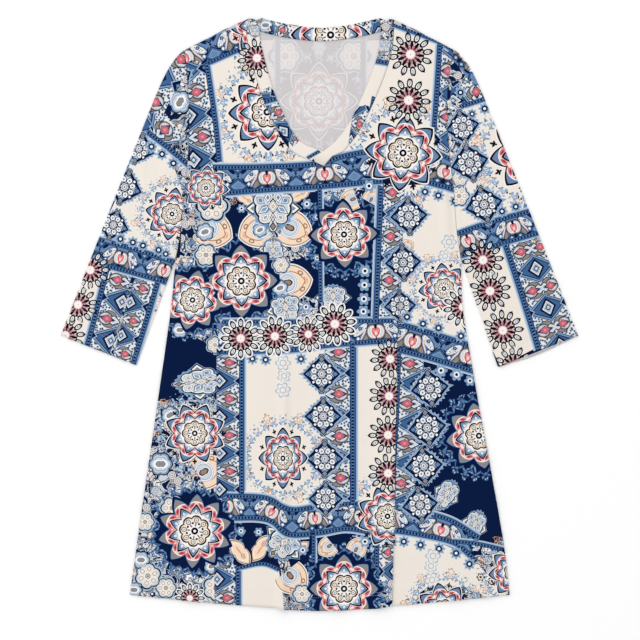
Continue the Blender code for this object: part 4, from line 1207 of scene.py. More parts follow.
def drawMedallion(tree, x, y, look, under):
    # looks 0 blue tips, 1 taupe tips, 2 taupe with ten petals, 3 blue and squeezed
    taupeLook, blueLook = looksOfMedallion(tree, look)
    tenPetals = add(tree, "COMPARE", [look, 2, 0.5])[0]
    petals = add(tree, "MULTIPLY_ADD", [tenPetals, 2, 8])[0]
    squeezed = add(tree, "GREATER_THAN", [look, 2.5])[0]
    widened = add(tree, "MULTIPLY_ADD", [squeezed, 0.25, 1])[0]
    x = add(tree, "MULTIPLY", [x, widened])[0]
    tips = add(tree, fanFold, [x, y, petals, 0])[:2]
    notches = add(tree, fanFold, [x, y, petals, 0.5])[:2]
    colour = layMarks(tree, under, notches, [
        (0.95, 0, 0.058, 0.028, 0, "black 1"),
        (0.905, 0.04, 0.045, 0.026, 55, "black 1"),
        (0.86, 0, 0.04, 0.024, 0, "black 1"),
    ], blueLook)
    outer = add(tree, petalRim, [x, y, petals, 0, 0.69, 1.12])[0]
    colour = layInk(tree, colour, outer, "coral 0.93 black 1 white 1.04", blueLook)
    colour = layInk(tree, colour, outer, "coral 0.93 blue 0.97 navy 1.07", taupeLook)
    inside = add(tree, "LESS_THAN", [outer, 0.93])[0]
    inner = add(tree, petalRim, [x, y, petals, 0, 0.68, 1.05])[0]
    inner = add(tree, "DIVIDE", [inner, 0.71])[0]
    colour = layInk(tree, colour, inner, "- 1 blush 1.05 coral 1.17 rose 1.2", inside)
    colour = layMarks(tree, colour, tips, [
        (0.735, 0, 0.035, 0.06, 0, "blush 1"),
        (0.665, 0.112, 0.09, 0.036, -41, "wine 0.5 rose 1"),
        (0.56, 0.205, 0.045, 0.04, -20, "white 0.6 blush 1"),
    ])
    for chosen, tip in ((blueLook, "blue"), (taupeLook, "taupe")):
        shown = add(tree, "MULTIPLY", [inside, chosen])[0]
        colour = layMarks(tree, colour, tips, [(0.49, 0, 0.295, 0.295, 0, "- 0.91 white 1 " + tip)], shown)
    colour = layInk(tree, colour, inner, "white 0.91 black 1")
    within = add(tree, "LESS_THAN", [inner, 0.91])[0]
    colour = layMarks(tree, colour, (x, y), [
        (0, 0, 1, 1, 0, "- 0.4 white 0.45 iceBlue 0.5 petalBlue 0.55 blue 0.7"),
    ], within)
    colour = layMarks(tree, colour, tips, [
        (0.52, 0, 0.075, 0.05, 0, "<> peach 0.4 white 0.78 chainBlue 1"),
        (0.445, 0.165, 0.03, 0.03, 0, "<> chainBlue 1"),
    ])
    rosette = add(tree, petalRim, [x, y, 8, 0.5, 0.84, 2.2])[0]
    rosette = add(tree, "DIVIDE", [rosette, 0.42])[0]
    colour = layInk(tree, colour, rosette, "white 0.62 cream 0.8 peach 0.89 black 1")
    lobes = add(tree, fanFold, [x, y, 8, 0.5])[:2]
    colour = layMarks(tree, colour, lobes, [
        (0.285, 0, 0.075, 0.062, 0, "smoke 0.3 cream 0.74 black 1"),
        (0.165, 0, 0.05, 0.02, 0, "brown 1"),
        (0.2, 0.075, 0.026, 0.026, 0, "black 1"),
    ])
    colour = layMarks(tree, colour, (x, y), [(0, 0, 0.12, 0.12, 0, "white 0.3 black 0.78 white 1")])
    return colour


def drawMedallionHalo(tree, x, y, look, under):
    # sprigs and specks round a medallion: peach and blue on cream, a spiky blue ring on navy
    taupeLook, blueLook = looksOfMedallion(tree, look)
    placed = add(tree, "TexCoord")[3]
    shiver = add(tree, "TexNoise", {0: placed, 2: perMetre(grain["shiver"]), 3: 0})[0]
    shiver = add(tree, "MULTIPLY_ADD", [shiver, 0.16, 0.92])[0]
    x = add(tree, "MULTIPLY", [x, shiver])[0]
    y = add(tree, "MULTIPLY", [y, shiver])[0]
    many = add(tree, fanFold, [x, y, 24, 0])[:2]
    few = add(tree, fanFold, [x, y, 8, 0.5])[:2]
    colour = layMarks(tree, under, few, [
        (1.26, 0.075, 0.13, 0.07, 35, "- 0.72 sand 1"),
        (1.42, 0.04, 0.11, 0.05, -20, "- 0.72 sand 1"),
        (1.33, 0.15, 0.02, 0.02, 0, "black 1"),
        (1.47, 0.1, 0.02, 0.02, 0, "brown 1"),
    ], blueLook)
    colour = layMarks(tree, colour, many, [
        (1.08, 0.06, 0.05, 0.03, 30, "petalBlue 1"),
        (1.17, 0.03, 0.06, 0.045, -30, "iceBlue 0.5 petalBlue 1"),
        (1.13, 0.11, 0.024, 0.022, 0, "chainEdge 1"),
        (1.25, 0.09, 0.04, 0.03, 40, "paleBlue 1"),
        (1.31, 0.02, 0.03, 0.022, 20, "blue 1"),
        (1.38, 0.09, 0.018, 0.018, 0, "smoke 1"),
    ], blueLook)
    spikes = add(tree, petalRim, [x, y, 24, 0, 0.86, 1])[0]
    spikes = add(tree, "DIVIDE", [spikes, 1.22])[0]
    colour = layInk(tree, colour, spikes, "navy 0.93 chainBlue 1", taupeLook)
    colour = layMarks(tree, colour, many, [
        (1.12, 0, 0.08, 0.03, 20, "blue 0.6 chainBlue 1"),
        (1.22, 0.09, 0.05, 0.025, 50, "blue 1"),
        (1.29, 0.03, 0.05, 0.035, -35, "iceBlue 0.4 chainBlue 1"),
    ], taupeLook)
    colour = layMarks(tree, colour, few, [
        (0.94, 0, 0.04, 0.055, 0, "blue 0.6 chainBlue 1"),
        (1, 0.1, 0.07, 0.026, 40, "petalBlue 0.5 blue 1"),
        (1.05, 0.21, 0.06, 0.024, -30, "blue 1"),
        (1.1, 0.03, 0.05, 0.032, 70, "iceBlue 0.4 chainBlue 1"),
    ], taupeLook)
    return colour


def drawDaisy(tree, x, y, look, under):
    petals = add(tree, fanFold, [x, y, 12, 0])[:2]
    between = add(tree, fanFold, [x, y, 12, 0.5])[:2]
    colour = layMarks(tree, under, petals, [(0.77, 0, 0.3, 0.2, 0, "white 1")], look)
    colour = layMarks(tree, colour, (x, y), [(0, 0, 1, 1, 0, "blush 0.3 cream 0.6")])
    colour = layMarks(tree, colour, petals, [
        (0.91, 0, 0.13, 0.08, 0, "<> black 1"),
        (0.47, 0, 0.12, 0.045, 0, "blush 0.5 plum 1"),
        (0.765, 0, 0.23, 0.135, 0, "white 0.6 black 1"),
        (0.79, 0, 0.11, 0.05, 0, "cream 0.5 smoke 1"),
    ])
    colour = layMarks(tree, colour, between, [
        (0.44, 0, 0.17, 0.068, 0, "black 0.8 burgundy 1"),
        (0.56, 0.03, 0.055, 0.032, 40, "black 1"),
        (0.28, 0, 0.09, 0.036, 0, "burgundy 1"),
    ])
    colour = layMarks(tree, colour, petals, [(0.29, 0, 0.07, 0.032, 0, "plum 1")])
    colour = layMarks(tree, colour, (x, y), [(0, 0, 0.21, 0.21, 0, "plum 0.1 white 0.8 blush 1")])
    return colour


def drawFloret(tree, x, y, look, under):
    # looks 0 a blue star, 1 six round petals, 2 lace, 3 a dark sprig
    star = add(tree, petalRim, [x, y, 8, 0, 0.62, 1.2])[0]
    sixfold = add(tree, petalRim, [x, y, 6, 0, 0.62, 1.8])[0]
    isStar, isRound, isLace, isSprig = [
        add(tree, "COMPARE", [look, float(kind), 0.4])[0] for kind in range(4)
    ]
    colour = layInk(tree, under, star, "blue 0.7 petalBlue 1 paleBlue 1.15", isStar)
    colour = layMarks(tree, colour, (x, y), [(0, 0, 1, 1, 0, "white 0.24 navy 0.52")], isStar)
    colour = layInk(tree, colour, sixfold, "petalBlue 0.95", isRound)
    colour = layMarks(tree, colour, (x, y), [(0, 0, 1, 1, 0, "navy 0.22 white 0.42")], isRound)
    colour = layInk(tree, colour, sixfold, "cream 0.82 paleBlue 1", isLace)
    colour = layMarks(tree, colour, (x, y), [(0, 0, 1, 1, 0, "- 0.3 paleBlue 0.42")], isLace)
    colour = layInk(tree, colour, sixfold, "burgundy 0.3 cream 0.6 black 0.85", isSprig)
    return colour


def drawLozenge(tree, x, y, look, under):
    quarter = [add(tree, "ABSOLUTE", [axis])[0] for axis in (x, y)]
    fringe = add(tree, petalRim, [x, y, 26, 0, 0.86, 0.8])[0]
    plain = add(tree, petalRim, [x, y, 26, 0, 1, 1])[0]
    toothed = add(tree, "DIVIDE", [fringe, plain])[0]
    scalloped = add(tree, petalRim, [x, y, 12, 0.5, 0.9, 2])[0]
    scalloped = add(tree, "DIVIDE", [scalloped, 0.76])[0]
    diamond = add(tree, "ADD", quarter)[0]
    shape = add(tree, "MINIMUM", [diamond, scalloped])[0]
    edge = add(tree, "MULTIPLY", [shape, toothed])[0]
    edge = add(tree, "DIVIDE", [edge, 1.16])[0]
    colour = layInk(tree, under, edge, "blue 0.96 petalBlue 1.05 paleBlue 1.1")
    colour = layMarks(tree, colour, quarter, [(0, 0.84, 0.2, 0.24, 0, "navy 1")])
    colour = layInk(tree, colour, shape, "iceBlue 0.66 petalBlue 0.8 navy 1.02 paleBlue 1.06")
    colour = layMarks(tree, colour, quarter, [
        (0.74, 0, 0.2, 0.17, 0, "<> blue 0.7 navy 1"),
        (0, 0.8, 0.17, 0.22, 0, "<> taupe 0.6 smoke 0.72 navy 1"),
        (0.44, 0.44, 0.14, 0.14, 0, "<> white 0.6 navy 1"),
    ])
    loops = add(tree, fanFold, [x, y, 8, 0.5])[:2]
    colour = layMarks(tree, colour, loops, [
        (0.44, 0, 0.2, 0.165, 0, "chainBlue 0.2 iceBlue 0.42 white 0.78 navy 1"),
        (0.25, 0, 0.07, 0.05, 0, "chainEdge 1"),
    ])
    core = add(tree, petalRim, [x, y, 6, 0, 0.8, 1.6])[0]
    colour = layInk(tree, colour, core, "chainEdge 0.05 white 0.11 taupe 0.16 iceBlue 0.22 navy 0.27")
    return colour


def drawPalmette(tree, x, y, look, under):
    # looks 0 and 1 a lobed blue flower, 2 a cream rosette, 3 a drop in rings
    isFlower = add(tree, "LESS_THAN", [look, 1.5])[0]
    isRosette = add(tree, "COMPARE", [look, 2, 0.4])[0]
    isDrop = add(tree, "GREATER_THAN", [look, 2.5])[0]
    narrow = add(tree, "COMPARE", [look, 1, 0.4])[0]
    narrow = add(tree, "MULTIPLY_ADD", [narrow, 0.7, 1])[0]
    x = add(tree, "MULTIPLY", [x, narrow])[0]
    half = (add(tree, "ABSOLUTE", [x])[0], y)
    spiky = add(tree, petalRim, [x, y, 20, 0, 0.9, 1])[0]
    colour = layInk(tree, under, spiky, "blue 0.76 petalBlue 0.84", isFlower)
    outline = joined(tree, half, [
        (0.5, 0.34, 0.27, 0.27, 0), (0.22, 0.47, 0.25, 0.22, 0), (0.3, 0, 0.42, 0.4, 0),
        (0.3, -0.36, 0.28, 0.23, 0), (0, -0.64, 0.17, 0.26, 0),
    ])
    colour = layMarks(tree, colour, half, [
        (0.77, 0.02, 0.31, 0.25, 0, "<> taupe 0.36 white 0.74 black 1 petalBlue 1.15"),
    ], isFlower)
    colour = layInk(
        tree, colour, outline,
        "petalBlue 0.4 iceBlue 0.7 white 0.83 black 1 petalBlue 1.1", isFlower, True
    )
    colour = layMarks(tree, colour, half, [
        (0.48, 0.33, 0.26, 0.2, 40, "<> blue 0.3 petalBlue 0.5 white 0.66 chainEdge 0.8"),
        (0.2, 0.44, 0.17, 0.26, 0, "<> blue 0.4 white 0.7 chainEdge 0.84"),
        (0.29, -0.32, 0.3, 0.17, -45, "<> petalBlue 0.34 white 0.6 brown 0.72 cream 0.9"),
        (0.34, -0.02, 0.36, 0.17, -34, "<> petalBlue 0.46 white 0.7 chainEdge 0.86"),
        (0, 0.1, 0.22, 0.3, 0, "<> peach 0.2 brown 0.32 white 0.6 taupe 0.72 white 0.86 black 1"),
        (0, -0.32, 0.11, 0.22, 0, "<> taupe 0.4 white 0.7 black 1"),
        (0, -0.67, 0.13, 0.18, 0, "<> taupe 0.66 black 1"),
    ], isFlower)
    rosette = add(tree, petalRim, [x, y, 6, 0, 0.82, 2])[0]
    colour = layInk(
        tree, colour, rosette,
        "black 0.07 white 0.13 black 0.19 cream 0.72 iceBlue 0.86 black 0.97 paleBlue 1.08", isRosette
    )
    lobes = add(tree, fanFold, [x, y, 6, 0])[:2]
    colour = layMarks(tree, colour, lobes, [(0.52, 0, 0.17, 0.15, 0, "cream 0.78 brown 1")], isRosette)
    colour = layInk(
        tree, colour, rosette,
        "iceBlue 0.56 chainBlue 0.6 iceBlue 0.72 petalBlue 0.86 black 0.96", isDrop
    )
    drop = add(tree, petalRim, [x, y, 2, 0, 0.5, 1.1])[0]
    colour = layInk(tree, colour, drop, "taupe 0.22 smoke 0.32 black 0.38 white 0.6", isDrop)
    return colour


def drawWing(tree, x, y, look, under):
    # a peach half-moon with a ringed eye, bulging along x
    kept = add(tree, "GREATER_THAN", [x, -0.45])[0]
    half = (x, add(tree, "ABSOLUTE", [y])[0])
    colour = layMarks(tree, under, half, [
        (-0.1, -0.42, 1.13, 1.26, 0, "peach 0.7 brown 0.73 peach 0.92 brown 0.955 white 1"),
        (0.46, 0.36, 0.13, 0.09, -40, "peach 0.55 brown 1"),
        (0.66, 0.08, 0.1, 0.05, -40, "peach 0.5 sand 1"),
        (-0.16, 0, 0.46, 0.5, 0, "iceBlue 0.7 smoke 0.76 white 0.86 paleBlue 0.95 white 1"),
    ], kept)
    lens = [add(tree, "MULTIPLY_ADD", [axis, 1 / 0.27, part])[0] for axis, part in ((x, 0.6), (y, 0))]
    drop = add(tree, petalRim, [*lens, 2, 0, 0.5, 1.1])[0]
    colour = layInk(tree, colour, drop, "taupe 0.5 brown 0.68 black 0.9 white 1.05")
    return colour


def drawLeaf(tree, x, y, look, under):
    lens = add(tree, petalRim, [x, y, 2, 0, 0.36, 0.62])[0]
    colour = layInk(tree, under, lens, "peach 0.66 white 0.72 peach 0.86 brown 0.95 cream 1")
    colour = layMarks(tree, colour, (x, y), [
        (0.3, 0, 0.16, 0.11, 0, "brown 0.3 peach 0.7 brown 1"),
        (-0.12, 0, 0.3, 0.045, 0, "sand 1"),
    ])
    return colour


def drawStrip(tree, along, across, kind, under):
    # kind 1: hearts between crossed bars; kind -1: pink eyes under taupe arches, with the chain side up
    height = add(tree, "ABSOLUTE", [across])[0]

    x = repeated(tree, along, drawnStrips["hearts"]["period"])
    isHeart = add(tree, "GREATER_THAN", [kind, 0.5])[0]
    inBand = add(tree, "LESS_THAN", [height, drawnStrips["hearts"]["half"]])[0]
    heartBand = add(tree, "MULTIPLY", [isHeart, inBand])[0]
    colour = add(tree, "Mix", {0: heartBand, 6: under, 7: ink["blue"]}, data_type="RGBA")[2]
    place = (x, across)
    placed = add(tree, "TexCoord")[3]
    dots = add(tree, "TexVoronoi", {0: placed, 2: perMetre(grain["dots"]), 8: 1}, voronoi_dimensions="2D")[0]
    colour = layMarks(tree, colour, place, [
        (29, -7, 11, 8.6, 0, "<> blue 0.5 petalBlue 0.62 chainBlue 0.86 navy 1"),
        (29, 10, 7, 6, 0, "<> paleBlue 0.3 chainBlue 0.78 navy 1"),
        (5.4, -9.4, 5.4, 4.4, 0, "<> iceBlue 0.3 chainBlue 0.7 navy 1"),
        (18.4, -5, 3.8, 4, 0, "<> white 0.4 petalBlue 0.66 chainEdge 1"),
        (22.6, 7.9, 4.2, 1.5, -41, "navy 1"),
        (23, -1.8, 4.6, 0.8, 43, "navy 1"),
        (29, 3, 1.2, 1.2, 0, "navy 1"),
        (16.2, -9.4, 4, 1.3, 14, "navy 1"),
        (15.4, 3.2, 10.4, 4.2, -38, "iceBlue 0.5 cream 0.74 petalBlue 0.86 navy 1"),
    ], heartBand)
    wing = away(tree, place, (15.4, 3.4, 8.8, 3.2, -38))
    wing = add(tree, "LESS_THAN", [wing, 1])[0]
    wing = add(tree, "MULTIPLY", [wing, heartBand])[0]
    colour = layInk(tree, colour, dots, "chainEdge 0.2 white 0.36", wing)
    colour = layMarks(tree, colour, place, [
        (15.4, 4.6, 2.1, 1.7, 0, "petalBlue 0.5 chainEdge 1"),
        (12.8, -1.4, 6.6, 0.8, -58, "blush 1"),
        (10.6, -5.2, 6.2, 2.6, -56, "taupe 0.8 black 1"),
        (3.2, 0.6, 6.6, 7.8, 0, "iceBlue 0.6 cream 0.74 taupe 0.9 black 1"),
        (1.9, 1.6, 3.2, 3.9, 0, "white 1"),
        (0, -1, 5, 6.2, 0, "<> rose 0.8 white 1"),
        (0, -8.6, 2.6, 4.2, 0, "<> navy 1"),
        (1.9, 1.6, 2.3, 3, 0, "coral 0.62 rose 1"),
        (0.4, -0.8, 1.4, 2.6, 0, "blush 0.7 coral 1"),
        (0, 5.8, 1.5, 2.4, 0, "navy 1"),
    ], heartBand)

    x = repeated(tree, along, drawnStrips["eyes"]["period"])
    isEye = add(tree, "LESS_THAN", [kind, -0.5])[0]
    inBand = add(tree, "LESS_THAN", [height, drawnStrips["eyes"]["half"]])[0]
    eyeBand = add(tree, "MULTIPLY", [isEye, inBand])[0]
    colour = add(tree, "Mix", {0: eyeBand, 6: colour, 7: ink["blue"]}, data_type="RGBA")[2]
    place = (across, x)
    lattice = add(tree, "MULTIPLY_ADD", [across, 0.0262, 0.76])[0]
    lattice = add(tree, "MULTIPLY_ADD", [x, -0.0426, lattice])[0]
    colour = layInk(
        tree, colour, lattice,
        "chainBlue 0.1 navy 0.14 blue 0.17 petalBlue 0.21 navy 0.25 iceBlue 0.3 cream 1.2 cream", eyeBand
    )
    inside = add(tree, "GREATER_THAN", [lattice, 0.27])[0]
    ring = add(tree, "MULTIPLY", [inside, eyeBand])[0]
    colour = layInk(tree, colour, dots, "navy 0.24 petalBlue 0.36 iceBlue 0.5", ring)
    colour = layMarks(tree, colour, place, [
        (12.5, 20, 8, 7, 0, "<> blue 0.3 navy 0.84 paleBlue 1"),
        (-9.5, 20, 9, 10, 0, "<> iceBlue 0.2 chainEdge 0.34 paleBlue 0.56 cream 0.7 navy 1"),
        (-12.5, 0, 5, 4, 0, "<> paleBlue 0.6 blue 1"),
        (-1.6, 0, 8.6, 9, 0, "taupe 0.9 chainEdge 0.98"),
        (2, 0, 7.2, 6.7, 0, "blush 0.6 iceBlue 0.78 taupe 0.9 black 1"),
        (-6.2, 0, 8, 5.2, 0, "<> petalBlue 0.3 iceBlue 0.6 cream 0.8 chainEdge 1"),
        (1.6, 0, 5.4, 4.4, 0, "iceBlue 1"),
        (0.4, 0, 8.2, 4.4, 0, "<> plum 0.7 navy 1"),
        (0.4, 0, 4.2, 3.5, 0, "coral 0.36 rose 0.84 plum 1"),
    ], eyeBand)
    return colour


def drawChain(tree, along, across, side, under):
    held = add(tree, "ABSOLUTE", [side])[0]
    held = add(tree, "GREATER_THAN", [held, 0.5])[0]
    towards = add(tree, "SIGN", [side])[0]
    out = add(tree, "MULTIPLY", [across, towards])[0]
    fade = add(tree, "MULTIPLY", [out, 1 / 4.6])[0]
    colour = layInk(tree, under, fade, "- 0.3 petalBlue 0.74 paleBlue 0.9 iceBlue 1.05", held)
    width = add(tree, "ABSOLUTE", [across])[0]
    width = add(tree, "MULTIPLY", [width, 1 / 2.6])[0]
    colour = layInk(tree, colour, width, "chainBlue 0.7 chainEdge 1", held)
    x = repeated(tree, along, chainBead)
    colour = layMarks(tree, colour, (x, across), [
        (0, 0, 1, 1.2, 0, "navy 1"),
        (1.6, 0, 0.5, 0.85, 0, "blue 1"),
    ], held)
    return colour


def drawGround(tree, cream, busy, *unused):
    # navy or cream, and the close lacework that fills the print between its large figures
    isCream = add(tree, "GREATER_THAN", [cream, 0])[0]
    isBusy = add(tree, "GREATER_THAN", [busy, 0])[0]
    colour = add(tree, "Mix", {0: isCream, 6: ink["navy"], 7: ink["cream"]}, data_type="RGBA")[2]
    placed = add(tree, "TexCoord")[3]
    petals, rims = [
        add(tree, "TexVoronoi", {0: placed, 2: perMetre(grain["petals"]), 8: 1}, voronoi_dimensions="2D",
            feature=feature) for feature in ("F1", "DISTANCE_TO_EDGE")
    ]
    tint, chosen = add(tree, "SeparateColor", [petals[1]])[:2]
    colour = layInk(
        tree, colour, tint,
        "navy 0.24 iceBlue 0.38 cream 0.5 petalBlue 0.58 white 0.7 peach 0.78 blue 0.86 taupe 0.92 "
        "blush 0.96 navy", isBusy
    )
    centred = add(tree, "GREATER_THAN", [chosen, 0.35])[0]
    centred = add(tree, "MULTIPLY", [centred, isBusy])[0]
    colour = layInk(tree, colour, petals[0], "chainEdge 0.09 white 0.2 petalBlue 0.27 cream 0.33", centred)
    colour = layInk(tree, colour, rims[0], "black 0.045 white 0.08", isBusy)
    swirl = add(tree, "TexNoise", {0: placed, 2: perMetre(grain["swirls"]), 3: 0, 8: 1.7})[0]
    swirl = add(tree, "MULTIPLY_ADD", [swirl, 2.73, -0.764])[0]
    colour = layInk(
        tree, colour, swirl,
        "navy 0.24 chainBlue 0.28 white 0.32 - 0.44 black 0.47 iceBlue 0.52 white 0.55 - 0.66 black "
        "0.69 petalBlue 0.74 navy 0.88", isBusy
    )
    small = add(tree, "TexVoronoi", {0: placed, 2: perMetre(grain["flowers"]), 8: 1}, voronoi_dimensions="2D")
    pick = add(tree, "SeparateColor", [small[1]])[1]
    flower = add(tree, "GREATER_THAN", [pick, 0.5])[0]
    flower = add(tree, "MULTIPLY", [flower, isBusy])[0]
    colour = layInk(
        tree, colour, small[0],
        "chainEdge 0.05 white 0.11 plum 0.14 iceBlue 0.2 chainEdge 0.22 cream 0.29 black 0.33", flower
    )
    return colour


printLayers = (  # from the cloth up: where its places are kept, its node group, and what draws it
    ("ground", "printGround", drawGround),
    ("medallions", "medallionHalo", drawMedallionHalo),
    ("wings", "wing", drawWing),
    ("leaves", "leaf", drawLeaf),
    ("palmettes", "palmette", drawPalmette),
    ("strips", "printedStrip", drawStrip),
    ("chains", "chainLine", drawChain),
    ("lozenges", "lozenge", drawLozenge),
    ("florets", "floret", drawFloret),
    ("medallions", "medallion", drawMedallion),
    ("daisies", "daisy", drawDaisy),
)


def makeTunicPrint():
    tree = openGroup("tunicPrint", [], [("Printed", "Color")])[0]
    colour = None
    for places, name, draw in printLayers:
        place = add(tree, "Attribute", attribute_name=places, attribute_type="GEOMETRY")[0]
        colour = add(tree, makeMotif(name, draw), {0: place, 1: colour})[0]
    add(tree, "NodeGroupOutput", [colour])
    return tree


jersey = {
    # mm between knit ribs; the real 0.6 mm is too fine to show, so it is drawn four times as wide
    "wale": 2.4,
    "waleHeight": 0.05,  # mm
    "relief": 0.35,
    "fibre": 1.1111,  # mm; single fibres are too fine to show, so tufts of them are drawn
    "mottle": 0.035,  # how far the colour strays where the fibres take less ink
    "patch": 38.4615,  # mm
    "patchMottle": 0.015,
    "roughness": 0.86,
    "sheen": 0.015,
    "sheenRoughness": 0.5,
    "specular": 0.06,
    "showThrough": 0.2,  # how much of the print comes through to the wrong side
}


def makeJersey(name, printed, faded):
    # printed polyester jersey: matt, with a soft bloom at grazing angles and faint upright ribs
    material, shader = openMaterial(name, {
        "Roughness": jersey["roughness"], "Sheen Weight": jersey["sheen"],
        "Sheen Roughness": jersey["sheenRoughness"], "Specular IOR Level": jersey["specular"],
    })
    tree = material.node_tree
    colour = add(tree, printed)[0]
    if faded:
        colour = add(tree, "Mix", {0: 1 - jersey["showThrough"], 6: colour, 7: ink["wrongSide"]},
                     data_type="RGBA")[2]
    placed = add(tree, "TexCoord")[3]
    fibres = add(tree, "TexNoise", {0: placed, 2: perMetre(jersey["fibre"]), 3: 2.0})[0]
    shade = add(tree, "MapRange", [fibres, 0.3, 0.7, 1 - jersey["mottle"], 1.0])[0]
    patches = add(tree, "TexNoise", {0: placed, 2: perMetre(jersey["patch"]), 3: 2.0})[0]
    patchShade = add(tree, "MapRange", [patches, 0.3, 0.7, 1 - jersey["patchMottle"], 1.0])[0]
    shade = add(tree, "MULTIPLY", [shade, patchShade])[0]
    colour = add(tree, "VectorMath", {0: colour, 3: shade}, operation="SCALE")[0]
    tree.links.new(colour, shader.inputs["Base Color"])
    x = add(tree, "SeparateXYZ", [placed])[0]
    ribs = add(tree, "MULTIPLY", [x, 2 * math.pi * perMetre(jersey["wale"])])[0]
    ribs = add(tree, "SINE", [ribs])[0]
    knit = add(tree, "MULTIPLY_ADD", [fibres, 1.5, ribs])[0]
    bump = add(tree, "Bump", {0: jersey["relief"], 1: jersey["waleHeight"] * mm, 3: knit})[0]
    tree.links.new(bump, shader.inputs["Normal"])
    return material


tunicPrint = makeTunicPrint()
rightSide = makeJersey("printedJerseyRightSide", tunicPrint, False)
wrongSide = makeJersey("printedJerseyWrongSide", tunicPrint, True)
print("print and jersey materials are made")


def makePiece(name, grids, sheet, wall, offset, upwards=True):
    bm = bmesh.new()
    for rows in grids:
        rows = [[bm.verts.new([float(value) * mm for value in point]) for point in row] for row in rows]
        for low, high in zip(rows, rows[1:]):
            for index in range(len(low) - 1):
                bm.faces.new((low[index], low[index + 1], high[index + 1], high[index]))
    bmesh.ops.remove_doubles(bm, verts=bm.verts[:], dist=cloth["weld"] * mm)
    bmesh.ops.recalc_face_normals(bm, faces=bm.faces[:])
    # a closed sleeve faces both ways, so only the upper part of such a piece is asked
    lowest = sum(vertex.co.z for vertex in bm.verts) / len(bm.verts) - 0.0002
    facing = sum(face.normal.z * face.calc_area() for face in bm.faces
                 if offset or face.calc_center_median().z > lowest)
    if (facing > 0) != upwards:
        bmesh.ops.reverse_faces(bm, faces=bm.faces[:])
    flat = bpy.data.meshes.new(name)
    bm.to_mesh(flat)
    bm.free()
    layPrint(flat, sheet)
    piece = addObject(name, flat)
    flat.materials.append(rightSide)
    flat.materials.append(wrongSide)
    solid = piece.modifiers.new("wall", "SOLIDIFY")
    solid.thickness = wall * mm
    solid.offset = offset
    if not name.startswith("neckband"):
        solid.material_offset = 1
    flat.shade_smooth()
    flat.set_sharp_from_angle(angle=math.radians(cloth["sharpTurn"]))
    print("made", name, len(flat.polygons), "faces")
    return piece


front = makePiece("frontPanelJersey", frontGrids(), frontPrint, cloth["wall"], 0.0)
back = makePiece("backPanelJersey", [backGrid()], backPrint, cloth["wall"], -1.0, upwards=False)
across = np.linspace(0, 1, mesh["bandAcross"])[:, None]
backBand = [
    np.column_stack([lower + (upper - lower) * across, 0 * across]) for upper, lower in backNeckRows()
]
bands = {"neckband_back": makePiece(
    "neckbandBackJersey", [backBand], bandPrints["neckband_back"], cloth["bandWall"], 1.0
)}
for side in ("left", "right"):
    node = "neckband_front_" + side
    bands[node] = makePiece("neckbandFront" + side.title() + "Jersey", [bandGrid(side)], bandPrints[node],
                            cloth["bandWall"], 0.0)
sleeves = {
    "sleeve_" + side: makePiece(
        "sleeve" + side.title() + "Jersey", [sleeveGrid(side)], sheet, cloth["wall"], 0.0
    )
    for side, sheet in (("left", sleeveLeftPrint), ("right", sleeveRightPrint))
}

# Twin rows of coverstitch that hold the turned hem and cuffs
stitching = {
    "pitch": 2.8,  # mm
    "length": 2.0,
    "thread": 0.34,
    "depths": (20.0, 24.5),  # of the two rows above the edge
    "above": 50,  # where the search for the cloth starts
    "step": 0.6,  # where the cloth climbs more than this between two points, the row breaks off
    "threadColour": "E6E4E6",
    # painted shade: the darker grey of the twist's grooves between the plies
    "grooveShadeColour": "C9C6C8",
    "twist": 0.38462,  # mm between the plies
    "twistDepth": 0.04,
    "roughness": 0.55,
    "specular": 0.3,
}


def makeStitchTree():
    sockets = [("Path", "Geometry"), ("Pitch", "Float"), ("Stitch length", "Float"), ("Thread", "Float"),
               ("Material", "Material")]
    tree, start = openGroup("coverstitch", sockets, [("Stitches", "Geometry")], "GeometryNodeTree")
    path, pitch, length, thread, material = start[:5]
    curve = add(tree, "MeshToCurve", [path])[0]
    even = add(tree, "ResampleCurve", {0: curve, 3: pitch}, mode="LENGTH")[0]
    bead = add(tree, "MeshIcoSphere", [0.5, 1])[0]
    shape = add(tree, "ShaderNodeCombineXYZ", [length, thread, thread])[0]
    bead = add(tree, "Transform", {0: bead, 3: shape})[0]
    turn = add(tree, "FunctionNodeAlignRotationToVector", {2: add(tree, "InputTangent")[0]}, axis="X")[0]
    placed = add(tree, "InstanceOnPoints", {0: even, 2: bead, 5: turn})[0]
    real = add(tree, "RealizeInstances", [placed])[0]
    done = add(tree, "SetMaterial", {0: real, 2: material})[0]
    add(tree, "NodeGroupOutput", [done])
    return tree


def makeThread():
    # textured polyester sewing thread, two-ply: a soft gloss, and the twist as fine slanting grooves, bumped
    # and also painted darker as shade
    material, shader = openMaterial("coverstitchThread", {
        "Roughness": stitching["roughness"], "Specular IOR Level": stitching["specular"],
    })
    tree = material.node_tree
    placed = add(tree, "TexCoord")[3]
    twist = add(tree, "TexNoise", {0: placed, 2: perMetre(stitching["twist"]), 3: 1.0})[0]
    grooveShade, crest = [linear(stitching[name]) for name in ("grooveShadeColour", "threadColour")]
    # the thread's own colour on the crests, painted shade in the grooves
    colour = add(tree, "Mix", {0: twist, 6: grooveShade, 7: crest}, data_type="RGBA")[2]
    tree.links.new(colour, shader.inputs["Base Color"])
    bump = add(tree, "Bump", {0: 0.3, 1: stitching["twistDepth"] * mm, 3: twist})[0]
    tree.links.new(bump, shader.inputs["Normal"])
    return material


